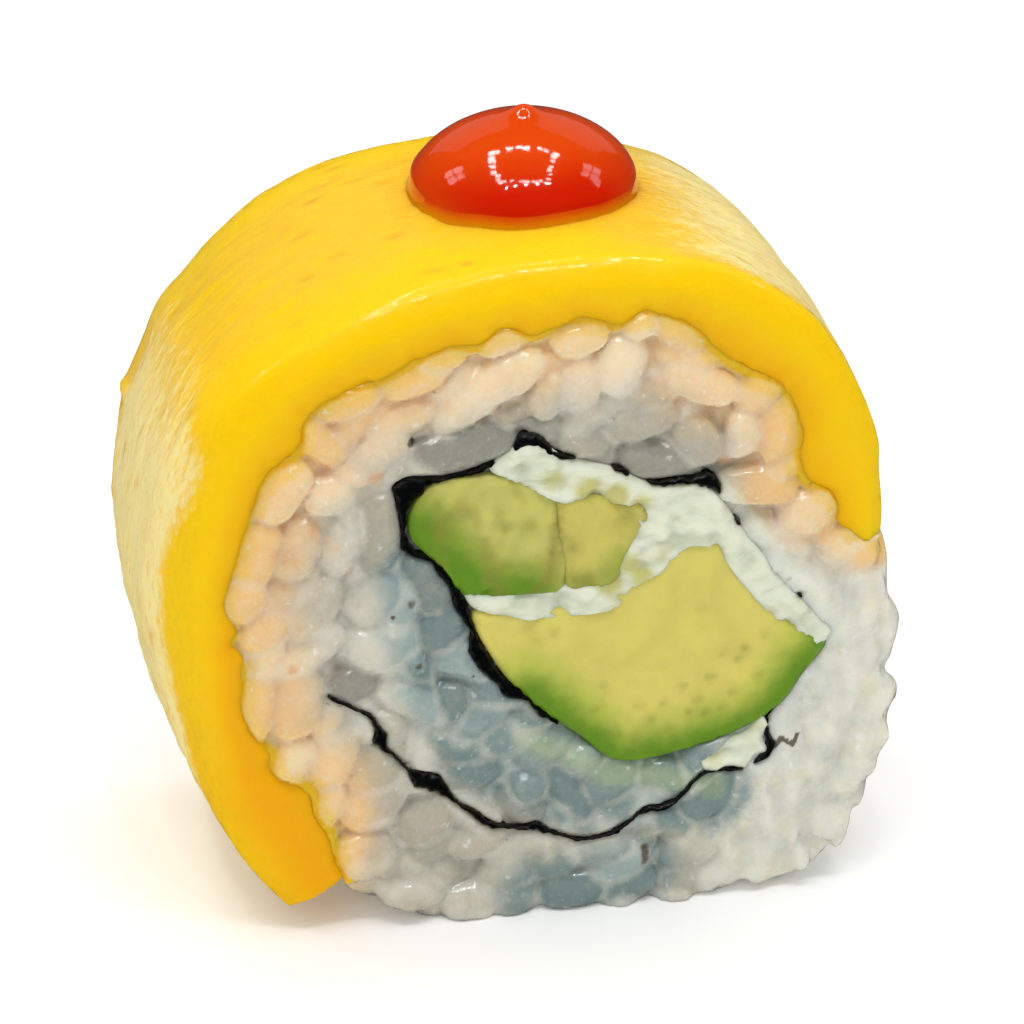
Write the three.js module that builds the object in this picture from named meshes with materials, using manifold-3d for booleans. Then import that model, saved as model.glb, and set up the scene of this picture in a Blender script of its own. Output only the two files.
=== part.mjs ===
import * as THREE from 'three';
import { mergeVertices } from 'three/addons/utils/BufferGeometryUtils.js';
import Module from 'manifold-3d';

// Mango sushi roll: one thick slice of an inside-out roll, standing on its rice with the roll's axis
// level. Millimetres, +Z up, the axis along Y, the cut face that shows at y = -DEPTH / 2, the ground
// at z = 0. Outlines are drawn on the cut face, as [x, z].

// The slice
const DEPTH = 24;
const AXIS_HEIGHT = 22;
const SWELL = 0.04;
const SWELL_LESS_RIGHT = 0.4;
const DEPTH_STEPS = 3;
const CLEARANCE = 0.14;
const THROUGH = 8;
const SHORTEST_EDGE = 0.05;
const KEPT_FACING = 0.2;
const CURVE_STEPS = 8;

// The mango's two ends, as angles about the axis from +X, on its inner and on its outer side
const MANGO_START = 6;
const MANGO_END_INSIDE = 236;
const MANGO_END_OUTSIDE = 230.5;
const MANGO_STATIONS = 34;
const MANGO_EDGE_ROUND = 1.3;
const MANGO_EDGE_DROP = 0.5;

// Radii about the axis, as [angle, radius]
const MANGO_RIDGE_FRONT = [
  [6, 21.9], [22, 23.1], [38, 24.1], [50, 24.3], [64, 23.7], [80, 22.5], [98, 21.7], [118, 22.2],
  [138, 23.1], [152, 23.6], [172, 23.1], [190, 22.8], [206, 23.2], [220, 23.9], [236, 25.1],
];
const MANGO_RIDGE_BACK = [
  [6, 21.9], [22, 23.2], [38, 24.0], [50, 24.0], [64, 23.2], [80, 22.5], [98, 22.2], [118, 22.8],
  [138, 22.9], [152, 23.0], [172, 23.2], [190, 23.0], [206, 22.9], [220, 23.7], [236, 25.1],
];
const MANGO_INSIDE = [
  [6, 21.3], [16, 19.3], [28, 18.9], [42, 19.7], [58, 19.7], [74, 19.3], [92, 18.3], [116, 18.5],
  [140, 19.0], [162, 19.3], [186, 18.9], [206, 19.3], [220, 19.5], [236, 21.9],
];
const RICE_RIM = [
  [226, 21.2], [238, 22.1], [252, 22.4], [264, 22.1], [276, 22.2], [288, 23.4], [300, 24.6],
  [312, 26.4], [322, 26.6], [334, 25.4], [346, 23.8], [358, 22.7], [368, 22.2],
];

// Rice
const GRAIN_LENGTH = 6.6;
const GRAIN_WIDTH = 3.1;
const GRAIN_THICKNESS = 2.8;
const GRAIN_SIDES = 6;
const GRAIN_WAIST = 0.8;
const GRAIN_SHOULDER = 0.33;
const GRAIN_SHARES = [1, 0.84, 0.68];
const GRAIN_TILT = 9;
const GRAIN_TURN = 70;
const GRAIN_SINK = 0.35;
const GRAIN_MARGIN = 1.0;
const GRAIN_SPACING = 2.15;
const FACE_TRIES = 7000;
const RIM_TRIES = 2500;
const CORE_RECESS = 1.15;
const CORE_UNDER_MANGO = 0.3;
const CORE_STEP = 5;
const RICE_SEED = 11;

// The spot that the slice rests on, pressed flat, with the grains around it a hair higher
const SOLE_MIDDLE = -0.3;
const SOLE_WIDTH = 9;
const SOLE_DEPTH = 20;
const SOLE_HEIGHT = 2.4;
const GRAINS_OFF_GROUND = 0.12;

// The sheet of nori, from its end inside the roll to its outer end, along its middle line
const NORI_THICKNESS = 0.5;
const NORI_RECESS = 0.3;
const NORI_STEP = 1.55;
const NORI_LINE = [
  [1.5, 13.4], [-0.4, 15.1], [-2.4, 17.4], [-3.8, 20.2], [-4.9, 22.7], [-6.2, 25.0], [-7.9, 26.8],
  [-8.2, 29.4], [-7.3, 30.7], [-4.3, 30.9], [-1.7, 31.7], [-0.4, 32.5], [2.0, 31.5], [5.2, 30.4],
  [7.4, 29.2], [10.8, 28.7], [13.0, 26.0], [16.7, 20.9], [18.8, 18.1], [18.8, 16.5], [16.8, 13.8],
  [15.2, 12.3], [14.9, 10.0], [13.4, 8.9], [10.8, 8.5], [8.6, 6.6], [7.1, 6.4], [4.6, 5.1],
  [2.8, 5.0], [0.2, 6.1], [-2.8, 6.5], [-5.0, 8.4], [-8.0, 11.0], [-9.6, 13.2], [-10.5, 15.0],
  [-12.9, 16.7],
];

// Fillings
const FILLING_EDGE_POINTS = 1.7;
const CHEESE_RECESS = 0.15;
const AVOCADO_LARGE = [
  [-3.6, 21.3], [0.5, 21.0], [4.7, 21.2], [6.6, 22.8], [8.6, 24.0], [10.2, 25.5], [12.6, 23.3],
  [14.6, 20.4], [17.0, 18.5], [18.4, 17.3], [16.9, 15.4], [15.6, 13.3], [13.3, 11.7], [9.5, 10.6],
  [5.3, 10.3], [2.8, 12.5], [-0.2, 15.4], [-2.4, 18.6],
];
const AVOCADO_LEFT = [
  [-7.5, 27.0], [-7.3, 28.6], [-6.0, 30.2], [-3.7, 30.5], [-0.7, 29.8], [1.0, 28.5], [1.4, 26.4],
  [1.8, 24.0], [1.4, 22.6], [-0.7, 22.5], [-2.6, 22.3], [-4.2, 22.9], [-5.4, 24.7], [-6.6, 25.9],
];
const AVOCADO_MIDDLE = [
  [1.7, 28.4], [3.7, 28.4], [6.6, 27.3], [6.5, 26.1], [5.3, 23.9], [4.1, 22.7], [2.4, 22.6],
  [1.9, 24.6], [1.5, 26.6],
];
const CHEESE = [
  [-2.8, 31.0], [-0.5, 32.6], [2.0, 31.4], [5.2, 30.2], [7.4, 29.1], [10.8, 28.6], [13.2, 25.4],
  [16.6, 20.9], [19.0, 18.1], [18.2, 17.0], [16.0, 18.4], [13.8, 20.4], [11.8, 23.4], [10.0, 24.6],
  [8.4, 23.2], [6.6, 22.2], [5.2, 20.9], [2.6, 20.5], [-1.4, 20.7], [-4.0, 21.9], [-4.5, 23.1],
  [-2.6, 22.7], [0.0, 22.9], [2.4, 22.9], [4.0, 23.1], [5.0, 24.2], [6.3, 26.4], [6.2, 27.3],
  [3.7, 28.2], [1.4, 28.3], [-0.2, 29.3], [-1.6, 30.1],
];
const CHEESE_CORNER = [
  [10.6, 9.9], [11.6, 10.8], [13.4, 11.6], [14.4, 12.6], [15.0, 12.0], [14.9, 10.2], [13.5, 9.0],
  [11.6, 8.9],
];

// Drop of sauce: a dome over its widest circle, cut to sit on the mango
const DROP_AT = [1.8, 0.6];
const DROP_FOOT = 41;
const DROP_WIDEST = 44.4;
const DROP_TOP = 49.6;
const DROP_RADIUS = 7.3;
const DROP_FLAT_TOP = 1.7;
const DROP_STEEP_SIDE = 0.57;
const DROP_SIDES = 28;
const DROP_RINGS = 8;

// Materials
const MATERIALS = {
  rice: { color: 0xded5c6, roughness: 0.45, metalness: 0 },
  mango: { color: 0xf6b91a, roughness: 0.35, metalness: 0 },
  sauce: { color: 0xd0300e, roughness: 0.08, metalness: 0 },
  nori: { color: 0x14181a, roughness: 0.4, metalness: 0 },
  avocado: { color: 0xc9c765, roughness: 0.4, metalness: 0 },
  cheese: { color: 0xe6eed9, roughness: 0.4, metalness: 0 },
};

const wasm = await Module();
wasm.setup();

// Numbers that repeat from run to run.
function makeDraw(seed) {
  let state = seed;
  return (low = 0, high = 1) => {
    state = (state * 1664525 + 1013904223) % 4294967296;
    return low + (high - low) * (state / 4294967296);
  };
}

function smoothStep(value) {
  const share = THREE.MathUtils.clamp(value, 0, 1);
  return share * share * (3 - 2 * share);
}

// A radius at any angle, from knots of [angle, radius] joined by a smooth curve.
function radiusCurve(knots) {
  const curve = new THREE.SplineCurve(knots.map(([angle, radius]) => new THREE.Vector2(angle, radius)));
  const points = curve.getPoints(knots.length * CURVE_STEPS);
  return (angle) => {
    const next = points.findIndex((point) => point.x >= angle);
    if (next === 0) return points[0].y;
    if (next < 0) return points[points.length - 1].y;
    const before = points[next - 1];
    const after = points[next];
    return THREE.MathUtils.mapLinear(angle, before.x, after.x, before.y, after.y);
  };
}

const ridgeFront = radiusCurve(MANGO_RIDGE_FRONT);
const ridgeBack = radiusCurve(MANGO_RIDGE_BACK);
const mangoInside = radiusCurve(MANGO_INSIDE);
const riceRim = radiusCurve(RICE_RIM);

function ridge(angle, y) {
  const back = smoothStep(y / DEPTH + 0.5);
  return THREE.MathUtils.lerp(ridgeFront(angle), ridgeBack(angle), back);
}

// Outer radius of the rice: the mango's inner side where there is mango, the rim elsewhere.
function riceRadius(angle) {
  const around = THREE.MathUtils.euclideanModulo(angle - MANGO_START, 360) + MANGO_START;
  return around < MANGO_END_INSIDE ? mangoInside(around) : riceRim(around);
}

function polar(angle, radius) {
  const turn = THREE.MathUtils.degToRad(angle);
  return [radius * Math.cos(turn), AXIS_HEIGHT + radius * Math.sin(turn)];
}

// The slice is fuller at mid-depth than at its cut faces, except where it rests on the ground.
function settle(x, y, z) {
  const reach = THREE.MathUtils.clamp((2 * y) / DEPTH, -1, 1);
  const up = z - AXIS_HEIGHT;
  const side = x / Math.max(Math.hypot(x, up), 1);
  const lift = smoothStep(z / AXIS_HEIGHT);
  const grow = 1 + SWELL * (1 - SWELL_LESS_RIGHT * side) * lift * (1 - reach * reach);
  return new THREE.Vector3(x * grow, y, AXIS_HEIGHT + up * grow);
}

function settleGeometry(geometry) {
  const position = geometry.attributes.position;
  for (let i = 0; i < position.count; i += 1) {
    const point = settle(position.getX(i), position.getY(i), position.getZ(i));
    position.setXYZ(i, point.x, point.y, point.z);
  }
  return geometry;
}

// A manifold-3d solid from a closed three.js geometry.
function toSolid(geometry) {
  const bare = geometry.clone();
  bare.deleteAttribute('normal');
  bare.deleteAttribute('uv');
  const merged = mergeVertices(bare, 1e-4);
  return new wasm.Manifold(new wasm.Mesh({
    numProp: 3,
    vertProperties: new Float32Array(merged.attributes.position.array),
    triVerts: new Uint32Array(merged.index.array),
  }));
}

// Loose scraps and sealed hollows come out as pieces of their own: the largest piece is the solid.
function largestPiece(solid) {
  const pieces = solid.decompose();
  return pieces.reduce((best, piece) => (piece.volume() > best.volume() ? piece : best));
}

// The faces of a cut solid as lists of three corners, and for each corner the faces that meet there.
function faceLists(mesh) {
  const corners = [];
  for (let i = 0; i < mesh.vertProperties.length; i += 3) {
    corners.push(new THREE.Vector3().fromArray(mesh.vertProperties, i));
  }
  const faces = [];
  for (let i = 0; i < mesh.triVerts.length; i += 3) faces.push([...mesh.triVerts.slice(i, i + 3)]);
  const around = corners.map(() => new Set());
  faces.forEach((face) => face.forEach((corner) => around[corner].add(face)));
  return { corners, faces, around };
}

// Whether moving `from` onto `to` turns no face over.
function keepsFacing(from, to, { corners, around }) {
  return [...around[from]].filter((face) => !face.includes(to)).every((face) => {
    const before = new THREE.Triangle(...face.map((corner) => corners[corner]));
    const after = new THREE.Triangle(...face.map((corner) => corners[corner === from ? to : corner]));
    const normal = before.getNormal(new THREE.Vector3());
    return normal.dot(after.getNormal(new THREE.Vector3())) > KEPT_FACING;
  });
}

// Cuts leave very short edges: the two ends of each become one, the lower, so that the base stays flat.
function toGeometry(solid) {
  const lists = faceLists(solid.getMesh());
  const { corners, faces, around } = lists;
  const linked = (corner) => new Set([...around[corner]].flat());
  let changed = true;
  while (changed) {
    changed = false;
    faces.forEach((face) => {
      for (let k = 0; k < 3 && around[face[0]].has(face); k += 1) {
        const [a, b] = [face[k], face[(k + 1) % 3]];
        const [to, from] = corners[a].z < corners[b].z ? [a, b] : [b, a];
        const shared = [...linked(a)].filter((corner) => linked(b).has(corner)).length - 2;
        const short = corners[a].distanceTo(corners[b]) < SHORTEST_EDGE;
        if (short && shared === 2 && keepsFacing(from, to, lists)) {
          [...around[from]].forEach((other) => {
            if (other.includes(to)) other.forEach((corner) => around[corner].delete(other));
            else {
              other[other.indexOf(from)] = to;
              around[to].add(other);
            }
          });
          around[from].clear();
          changed = true;
        }
      }
    });
  }
  const kept = faces.filter((face) => around[face[0]].has(face));
  const geometry = new THREE.BufferGeometry();
  geometry.setFromPoints(kept.flat().map((corner) => corners[corner]));
  return mergeVertices(geometry, 1e-5);
}

// Points along a smooth curve through [x, z] knots.
function smoothLine(knots, closed, spacing) {
  const vectors = knots.map(([x, z]) => new THREE.Vector3(x, z, 0));
  const curve = new THREE.CatmullRomCurve3(vectors, closed, 'centripetal');
  const count = Math.max(8, Math.round(curve.getLength() / spacing));
  const points = curve.getSpacedPoints(count).map((point) => new THREE.Vector2(point.x, point.y));
  if (closed) points.pop();
  return points;
}

// Each point of a line moved sideways: to the right of its run for a positive distance.
function shifted(points, closed, distance) {
  const count = points.length;
  return points.map((point, i) => {
    const before = closed ? points[(i + count - 1) % count] : points[Math.max(i - 1, 0)];
    const after = closed ? points[(i + 1) % count] : points[Math.min(i + 1, count - 1)];
    const run = after.clone().sub(before).normalize();
    return new THREE.Vector2(point.x + run.y * distance, point.y - run.x * distance);
  });
}

function outlineOf(knots, grow = 0) {
  const points = smoothLine(knots, true, FILLING_EDGE_POINTS);
  const side = THREE.ShapeUtils.area(points) > 0 ? grow : -grow;
  return shifted(points, true, side);
}

// A slab with the given outline between two depths, with the same steps in it as every other slab. Past
// the cut faces it runs on straight.
function slab(outline, front, back) {
  const half = DEPTH / 2;
  const depths = [];
  for (let i = 0; i <= DEPTH_STEPS; i += 1) depths.push((i / DEPTH_STEPS) * DEPTH - half);
  if (front < -half) depths.unshift(front);
  if (back > half) depths.push(back);
  depths[0] = front;
  depths[depths.length - 1] = back;
  const steps = depths.length - 1;
  const geometry = new THREE.ExtrudeGeometry(new THREE.Shape(outline), {
    depth: steps, steps, bevelEnabled: false,
  });
  geometry.rotateX(Math.PI / 2);
  const position = geometry.attributes.position;
  for (let i = 0; i < position.count; i += 1) {
    position.setY(i, depths[steps + Math.round(position.getY(i))]);
  }
  return settleGeometry(geometry);
}

function filling(knots, recess = 0) {
  return toSolid(slab(outlineOf(knots), recess - DEPTH / 2, DEPTH / 2 - recess));
}

// The same slab with its clearance, run past both faces, to cut a neighbour with.
function fillingRoom(knots) {
  return toSolid(slab(outlineOf(knots, CLEARANCE), -DEPTH / 2 - THROUGH, DEPTH / 2 + THROUGH));
}

// The sheet as a slab, grown on both sides and past both ends of its line by `grow`.
function noriStrip(grow, front, back) {
  const line = smoothLine(NORI_LINE, false, NORI_STEP);
  const last = line.length - 1;
  const inward = line[1].clone().sub(line[0]).setLength(grow);
  const outward = line[last].clone().sub(line[last - 1]).setLength(grow);
  line[0].sub(inward);
  line[last].add(outward);
  const half = NORI_THICKNESS / 2 + grow;
  const right = shifted(line, false, half);
  const left = shifted(line, false, -half);
  return toSolid(slab([...right, ...left.reverse()], front, back));
}

// A closed tube of quads through rings of points, with a fan over each end.
function ringTube(rings) {
  const size = rings[0].length;
  const positions = rings.flat().flatMap((point) => [point.x, point.y, point.z]);
  const index = [];
  for (let r = 0; r < rings.length - 1; r += 1) {
    for (let k = 0; k < size; k += 1) {
      const a = r * size + k;
      const b = r * size + ((k + 1) % size);
      index.push(a, b, a + size, b, b + size, a + size);
    }
  }
  [[0, false], [rings.length - 1, true]].forEach(([ring, last]) => {
    const start = ring * size;
    for (let k = 1; k < size - 1; k += 1) {
      const pair = last ? [start + k, start + k + 1] : [start + k + 1, start + k];
      index.push(start, ...pair);
    }
  });
  const geometry = new THREE.BufferGeometry();
  geometry.setAttribute('position', new THREE.Float32BufferAttribute(positions, 3));
  geometry.setIndex(index);
  return geometry;
}

// The mango's section at one station: how far out it reaches (0 inside, 1 at the ridge) against depth.
function mangoSection() {
  const half = DEPTH / 2;
  const quarter = half / 2;
  const round = MANGO_EDGE_ROUND;
  const front = [
    [0, 1 - half], [0.25, 0.25 - half], [0.7, -half], [0.9, 0.35 * round - half],
    [1, round - half], [1, 2.6 * round - half], [1, -quarter],
  ];
  const inside = [[0, -quarter], [0, 0], [0, quarter]];
  const back = front.map(([out, y]) => [out, -y]).reverse();
  return [...front, [1, 0], ...back, ...inside.reverse()];
}

function mangoRing(share) {
  const insideAngle = THREE.MathUtils.lerp(MANGO_START, MANGO_END_INSIDE, share);
  const outsideAngle = THREE.MathUtils.lerp(MANGO_START, MANGO_END_OUTSIDE, share);
  return mangoSection().map(([out, y]) => {
    const edge = smoothStep((DEPTH / 2 - Math.abs(y)) / MANGO_EDGE_ROUND);
    const outer = ridge(outsideAngle, y) - MANGO_EDGE_DROP * (1 - edge);
    const [x0, z0] = polar(insideAngle, mangoInside(insideAngle));
    const [x1, z1] = polar(outsideAngle, outer);
    return settle(THREE.MathUtils.lerp(x0, x1, out), y, THREE.MathUtils.lerp(z0, z1, out));
  });
}

function mangoGeometry() {
  const rings = [];
  for (let i = 0; i <= MANGO_STATIONS; i += 1) rings.push(mangoRing(i / MANGO_STATIONS));
  return ringTube(rings);
}

// The room that the mango takes, past its ends by the clearance and far past its other sides.
function mangoRoom() {
  const spare = THREE.MathUtils.radToDeg(CLEARANCE / AXIS_HEIGHT);
  const inside = [];
  const outside = [];
  for (let i = 0; i <= MANGO_STATIONS; i += 1) {
    const share = i / MANGO_STATIONS;
    const angle = THREE.MathUtils.lerp(MANGO_START - spare, MANGO_END_INSIDE + spare, share);
    inside.push(new THREE.Vector2(...polar(angle, mangoInside(angle) - CLEARANCE)));
    outside.push(new THREE.Vector2(...polar(angle, mangoInside(angle) + THROUGH)));
  }
  const outline = [...inside, ...outside.reverse()];
  return toSolid(slab(outline, -DEPTH / 2 - THROUGH, DEPTH / 2 + THROUGH));
}

// A grain of cooked rice, rounded and a little flat, lying along `along` with `out` as its top.
function grainSolid({ at, along, out, length }) {
  const width = GRAIN_WIDTH / 2;
  const waist = GRAIN_WAIST * width;
  const shoulder = GRAIN_SHOULDER * length;
  const half = length / 2;
  const profile = [[0, -half], [waist, -shoulder], [width, 0], [waist, shoulder], [0, half]];
  const geometry = new THREE.LatheGeometry(profile.map(([r, h]) => new THREE.Vector2(r, h)), GRAIN_SIDES);
  geometry.scale(1, 1, GRAIN_THICKNESS / GRAIN_WIDTH);
  const across = new THREE.Vector3().crossVectors(along, out).normalize();
  const top = new THREE.Vector3().crossVectors(across, along).normalize();
  geometry.applyMatrix4(new THREE.Matrix4().makeBasis(across, along, top).setPosition(at));
  return toSolid(geometry);
}

const FILLING_OUTLINES = [AVOCADO_LARGE, AVOCADO_LEFT, AVOCADO_MIDDLE, CHEESE, CHEESE_CORNER];
const fillingEdges = FILLING_OUTLINES.map((knots) => outlineOf(knots));
const noriEdge = smoothLine(NORI_LINE, false, 1);

function isInside(point, outline) {
  let inside = false;
  outline.forEach((a, i) => {
    const b = outline[(i + 1) % outline.length];
    const crosses = (a.y > point.y) !== (b.y > point.y);
    if (crosses && point.x < ((b.x - a.x) * (point.y - a.y)) / (b.y - a.y) + a.x) inside = !inside;
  });
  return inside;
}

function nearest(point, outline) {
  return Math.min(...outline.map((other) => other.distanceTo(point)));
}

// Whether a spot on the cut face is rice, at least `margin` away from the mango and the fillings.
function isRice(x, z, margin) {
  const up = z - AXIS_HEIGHT;
  const angle = THREE.MathUtils.radToDeg(Math.atan2(up, x));
  if (Math.hypot(x, up) > riceRadius(angle) - margin) return false;
  if (z < margin) return false;
  const point = new THREE.Vector2(x, z);
  if (nearest(point, noriEdge) < margin) return false;
  return fillingEdges.every((edge) => !isInside(point, edge) && nearest(point, edge) > margin);
}

// Tries places for grains one after the other and keeps each that stays clear of those before it.
// `propose` gives a place with its middle, the direction of its length, its top and its length.
function packGrains(tries, propose) {
  const taken = [];
  const grains = [];
  for (let i = 0; i < tries; i += 1) {
    const place = propose();
    if (!place) continue;
    const reach = place.length / 2 - GRAIN_SPACING / 2;
    const spots = [-reach, 0, reach].map((s) => place.at.clone().addScaledVector(place.along, s));
    if (spots.every((spot) => taken.every((other) => spot.distanceTo(other) > GRAIN_SPACING))) {
      taken.push(...spots);
      grains.push(grainSolid(place));
    }
  }
  return grains;
}

// Grains on a cut face: mostly along the wrap, shortened where they would meet something else.
function faceGrains(side, draw) {
  return packGrains(FACE_TRIES, () => {
    const radius = AXIS_HEIGHT * Math.sqrt(draw());
    const [x, z] = polar(draw(0, 360), radius);
    const wrap = Math.atan2(z - AXIS_HEIGHT, x) + Math.PI / 2;
    const turn = wrap + THREE.MathUtils.degToRad(draw(-GRAIN_TURN, GRAIN_TURN));
    const [dx, dz] = [Math.cos(turn), Math.sin(turn)];
    const share = GRAIN_SHARES.find((length) => {
      const end = (length * GRAIN_LENGTH) / 2 - GRAIN_MARGIN;
      return [-end, 0, end].every((s) => isRice(x + s * dx, z + s * dz, GRAIN_MARGIN));
    });
    if (!share) return null;
    const y = side * (DEPTH / 2 - GRAIN_THICKNESS / 2 - draw(0, GRAIN_SINK));
    const tilt = THREE.MathUtils.degToRad(draw(-GRAIN_TILT, GRAIN_TILT));
    const along = new THREE.Vector3(dx * Math.cos(tilt), Math.sin(tilt), dz * Math.cos(tilt));
    return { at: settle(x, y, z), along, out: new THREE.Vector3(0, side, 0), length: share * GRAIN_LENGTH };
  });
}

// Grains lying on the bare rim, from the mango's lower end round to its upper one.
function rimGrains(draw) {
  return packGrains(RIM_TRIES, () => {
    const angle = draw(MANGO_END_INSIDE + 3, 360 + MANGO_START - 2);
    const turn = THREE.MathUtils.degToRad(angle);
    const [x, z] = polar(angle, riceRadius(angle) - GRAIN_THICKNESS / 2 - draw(0, GRAIN_SINK));
    const out = new THREE.Vector3(Math.cos(turn), 0, Math.sin(turn));
    const around = new THREE.Vector3(-Math.sin(turn), 0, Math.cos(turn));
    const spin = draw(-Math.PI / 2, Math.PI / 2);
    const along = around.multiplyScalar(Math.cos(spin)).add(new THREE.Vector3(0, Math.sin(spin), 0));
    const y = draw(-1, 1) * (DEPTH / 2 - GRAIN_WIDTH / 2);
    const free = DEPTH / 2 - Math.abs(y);
    const share = GRAIN_SHARES.find((length) => (length * GRAIN_LENGTH * Math.abs(along.y)) / 2 < free);
    return share ? { at: settle(x, y, z), along, out, length: share * GRAIN_LENGTH } : null;
  });
}

// The rice without its grains: sunk under them where it is bare, and up to the mango where it isn't.
function riceCore() {
  const outline = [];
  for (let angle = MANGO_START; angle < 360 + MANGO_START; angle += CORE_STEP) {
    const spare = angle < MANGO_END_INSIDE ? CORE_UNDER_MANGO : -CORE_RECESS;
    outline.push(new THREE.Vector2(...polar(angle, riceRadius(angle) + spare)));
  }
  return toSolid(slab(outline, CORE_RECESS - DEPTH / 2, DEPTH / 2 - CORE_RECESS));
}

// Everything lower than the grains reach.
function groundBlock() {
  const size = 4 * AXIS_HEIGHT;
  const geometry = new THREE.BoxGeometry(size, size, size);
  geometry.translate(0, 0, GRAINS_OFF_GROUND - size / 2);
  return toSolid(geometry);
}

function sole() {
  const geometry = new THREE.BoxGeometry(SOLE_WIDTH, SOLE_DEPTH, SOLE_HEIGHT);
  geometry.translate(SOLE_MIDDLE, 0, SOLE_HEIGHT / 2);
  return toSolid(geometry);
}

function roundDrop() {
  const profile = [new THREE.Vector2(0, DROP_FOOT), new THREE.Vector2(DROP_RADIUS, DROP_FOOT)];
  for (let i = 0; i < DROP_RINGS; i += 1) {
    const rise = Math.sin((i / DROP_RINGS) * (Math.PI / 2));
    const radius = DROP_RADIUS * (1 - rise ** DROP_FLAT_TOP) ** DROP_STEEP_SIDE;
    profile.push(new THREE.Vector2(radius, THREE.MathUtils.lerp(DROP_WIDEST, DROP_TOP, rise)));
  }
  profile.push(new THREE.Vector2(0, DROP_TOP));
  const geometry = new THREE.LatheGeometry(profile, DROP_SIDES);
  geometry.rotateX(Math.PI / 2);
  geometry.translate(DROP_AT[0], DROP_AT[1], 0);
  return toSolid(geometry);
}

// Everything under the mango's outer surface, with the clearance, for the drop to sit on.
function underDrop() {
  const shares = [-1, -0.75, -0.5, -0.25, 0, 0.25, 0.5, 0.75, 1];
  const point = (angle, radius, share) => {
    const y = (share * DEPTH) / 2;
    const [x, z] = polar(angle, radius(angle, y));
    return settle(x, y, z);
  };
  const over = (angle, y) => ridge(angle, y) + CLEARANCE;
  const under = () => AXIS_HEIGHT / 4;
  const rings = [];
  for (let angle = 30; angle <= 150; angle += 2.5) {
    const top = shares.map((share) => point(angle, over, share));
    rings.push([...top, point(angle, under, 1), point(angle, under, -1)]);
  }
  return toSolid(ringTube(rings));
}

const mango = toSolid(mangoGeometry());
const nori = noriStrip(0, NORI_RECESS - DEPTH / 2, DEPTH / 2 - NORI_RECESS);
const noriRoom = noriStrip(CLEARANCE, -DEPTH / 2 - THROUGH, DEPTH / 2 + THROUGH);
const avocadoLarge = filling(AVOCADO_LARGE).subtract(noriRoom);
const avocadoLeft = filling(AVOCADO_LEFT).subtract(noriRoom);
const avocadoLeftRoom = fillingRoom(AVOCADO_LEFT);
const avocadoMiddle = filling(AVOCADO_MIDDLE).subtract(noriRoom).subtract(avocadoLeftRoom);
const avocadoRooms = wasm.Manifold.union([
  avocadoLeftRoom, fillingRoom(AVOCADO_LARGE), fillingRoom(AVOCADO_MIDDLE), noriRoom,
]);
const cheese = filling(CHEESE, CHEESE_RECESS).subtract(avocadoRooms);
const cheeseCorner = filling(CHEESE_CORNER, CHEESE_RECESS).subtract(avocadoRooms);
const heartRoom = wasm.Manifold.union([
  avocadoRooms, fillingRoom(CHEESE), fillingRoom(CHEESE_CORNER),
]);
const draw = makeDraw(RICE_SEED);
const rice = wasm.Manifold.union([
  riceCore(), ...faceGrains(-1, draw), ...faceGrains(1, draw), ...rimGrains(draw),
]).subtract(heartRoom).subtract(mangoRoom()).subtract(groundBlock()).add(sole());
const drop = roundDrop().subtract(underDrop());

function addPiece(group, name, solid, material) {
  const mesh = new THREE.Mesh(toGeometry(largestPiece(solid)), new THREE.MeshStandardMaterial(material));
  mesh.name = name;
  group.add(mesh);
}

const roll = new THREE.Group();
addPiece(roll, 'rice', rice, MATERIALS.rice);
addPiece(roll, 'mango', mango, MATERIALS.mango);
addPiece(roll, 'sauce_drop', drop, MATERIALS.sauce);
addPiece(roll, 'nori', nori, MATERIALS.nori);
addPiece(roll, 'avocado_large', avocadoLarge, MATERIALS.avocado);
addPiece(roll, 'avocado_left', avocadoLeft, MATERIALS.avocado);
addPiece(roll, 'avocado_middle', avocadoMiddle, MATERIALS.avocado);
addPiece(roll, 'cream_cheese', cheese, MATERIALS.cheese);
addPiece(roll, 'cream_cheese_corner', cheeseCorner, MATERIALS.cheese);

export default roll;
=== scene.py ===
"""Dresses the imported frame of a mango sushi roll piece: mango, rice, nori, avocado, cheese and sauce."""

import math

import bpy
import numpy as np
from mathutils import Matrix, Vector
from mathutils.geometry import delaunay_2d_cdt


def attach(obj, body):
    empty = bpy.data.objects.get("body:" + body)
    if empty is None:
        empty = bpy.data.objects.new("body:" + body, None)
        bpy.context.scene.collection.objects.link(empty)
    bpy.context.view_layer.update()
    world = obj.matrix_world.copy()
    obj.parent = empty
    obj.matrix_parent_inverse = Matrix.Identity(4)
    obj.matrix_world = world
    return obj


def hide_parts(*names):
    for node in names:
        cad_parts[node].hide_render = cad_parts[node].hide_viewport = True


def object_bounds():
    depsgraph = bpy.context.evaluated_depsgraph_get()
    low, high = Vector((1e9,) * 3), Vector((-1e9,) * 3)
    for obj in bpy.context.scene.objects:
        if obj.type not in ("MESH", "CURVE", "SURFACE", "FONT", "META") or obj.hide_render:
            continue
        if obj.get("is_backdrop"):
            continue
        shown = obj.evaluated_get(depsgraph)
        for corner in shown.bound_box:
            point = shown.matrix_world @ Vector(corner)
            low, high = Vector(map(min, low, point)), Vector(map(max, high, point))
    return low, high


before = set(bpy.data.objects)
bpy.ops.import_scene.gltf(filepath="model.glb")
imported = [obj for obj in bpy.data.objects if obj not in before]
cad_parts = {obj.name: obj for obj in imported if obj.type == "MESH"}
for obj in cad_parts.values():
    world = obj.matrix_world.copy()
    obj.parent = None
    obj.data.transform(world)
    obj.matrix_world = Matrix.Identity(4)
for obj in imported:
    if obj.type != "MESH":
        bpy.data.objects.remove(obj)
FRAME_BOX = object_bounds()

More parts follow.
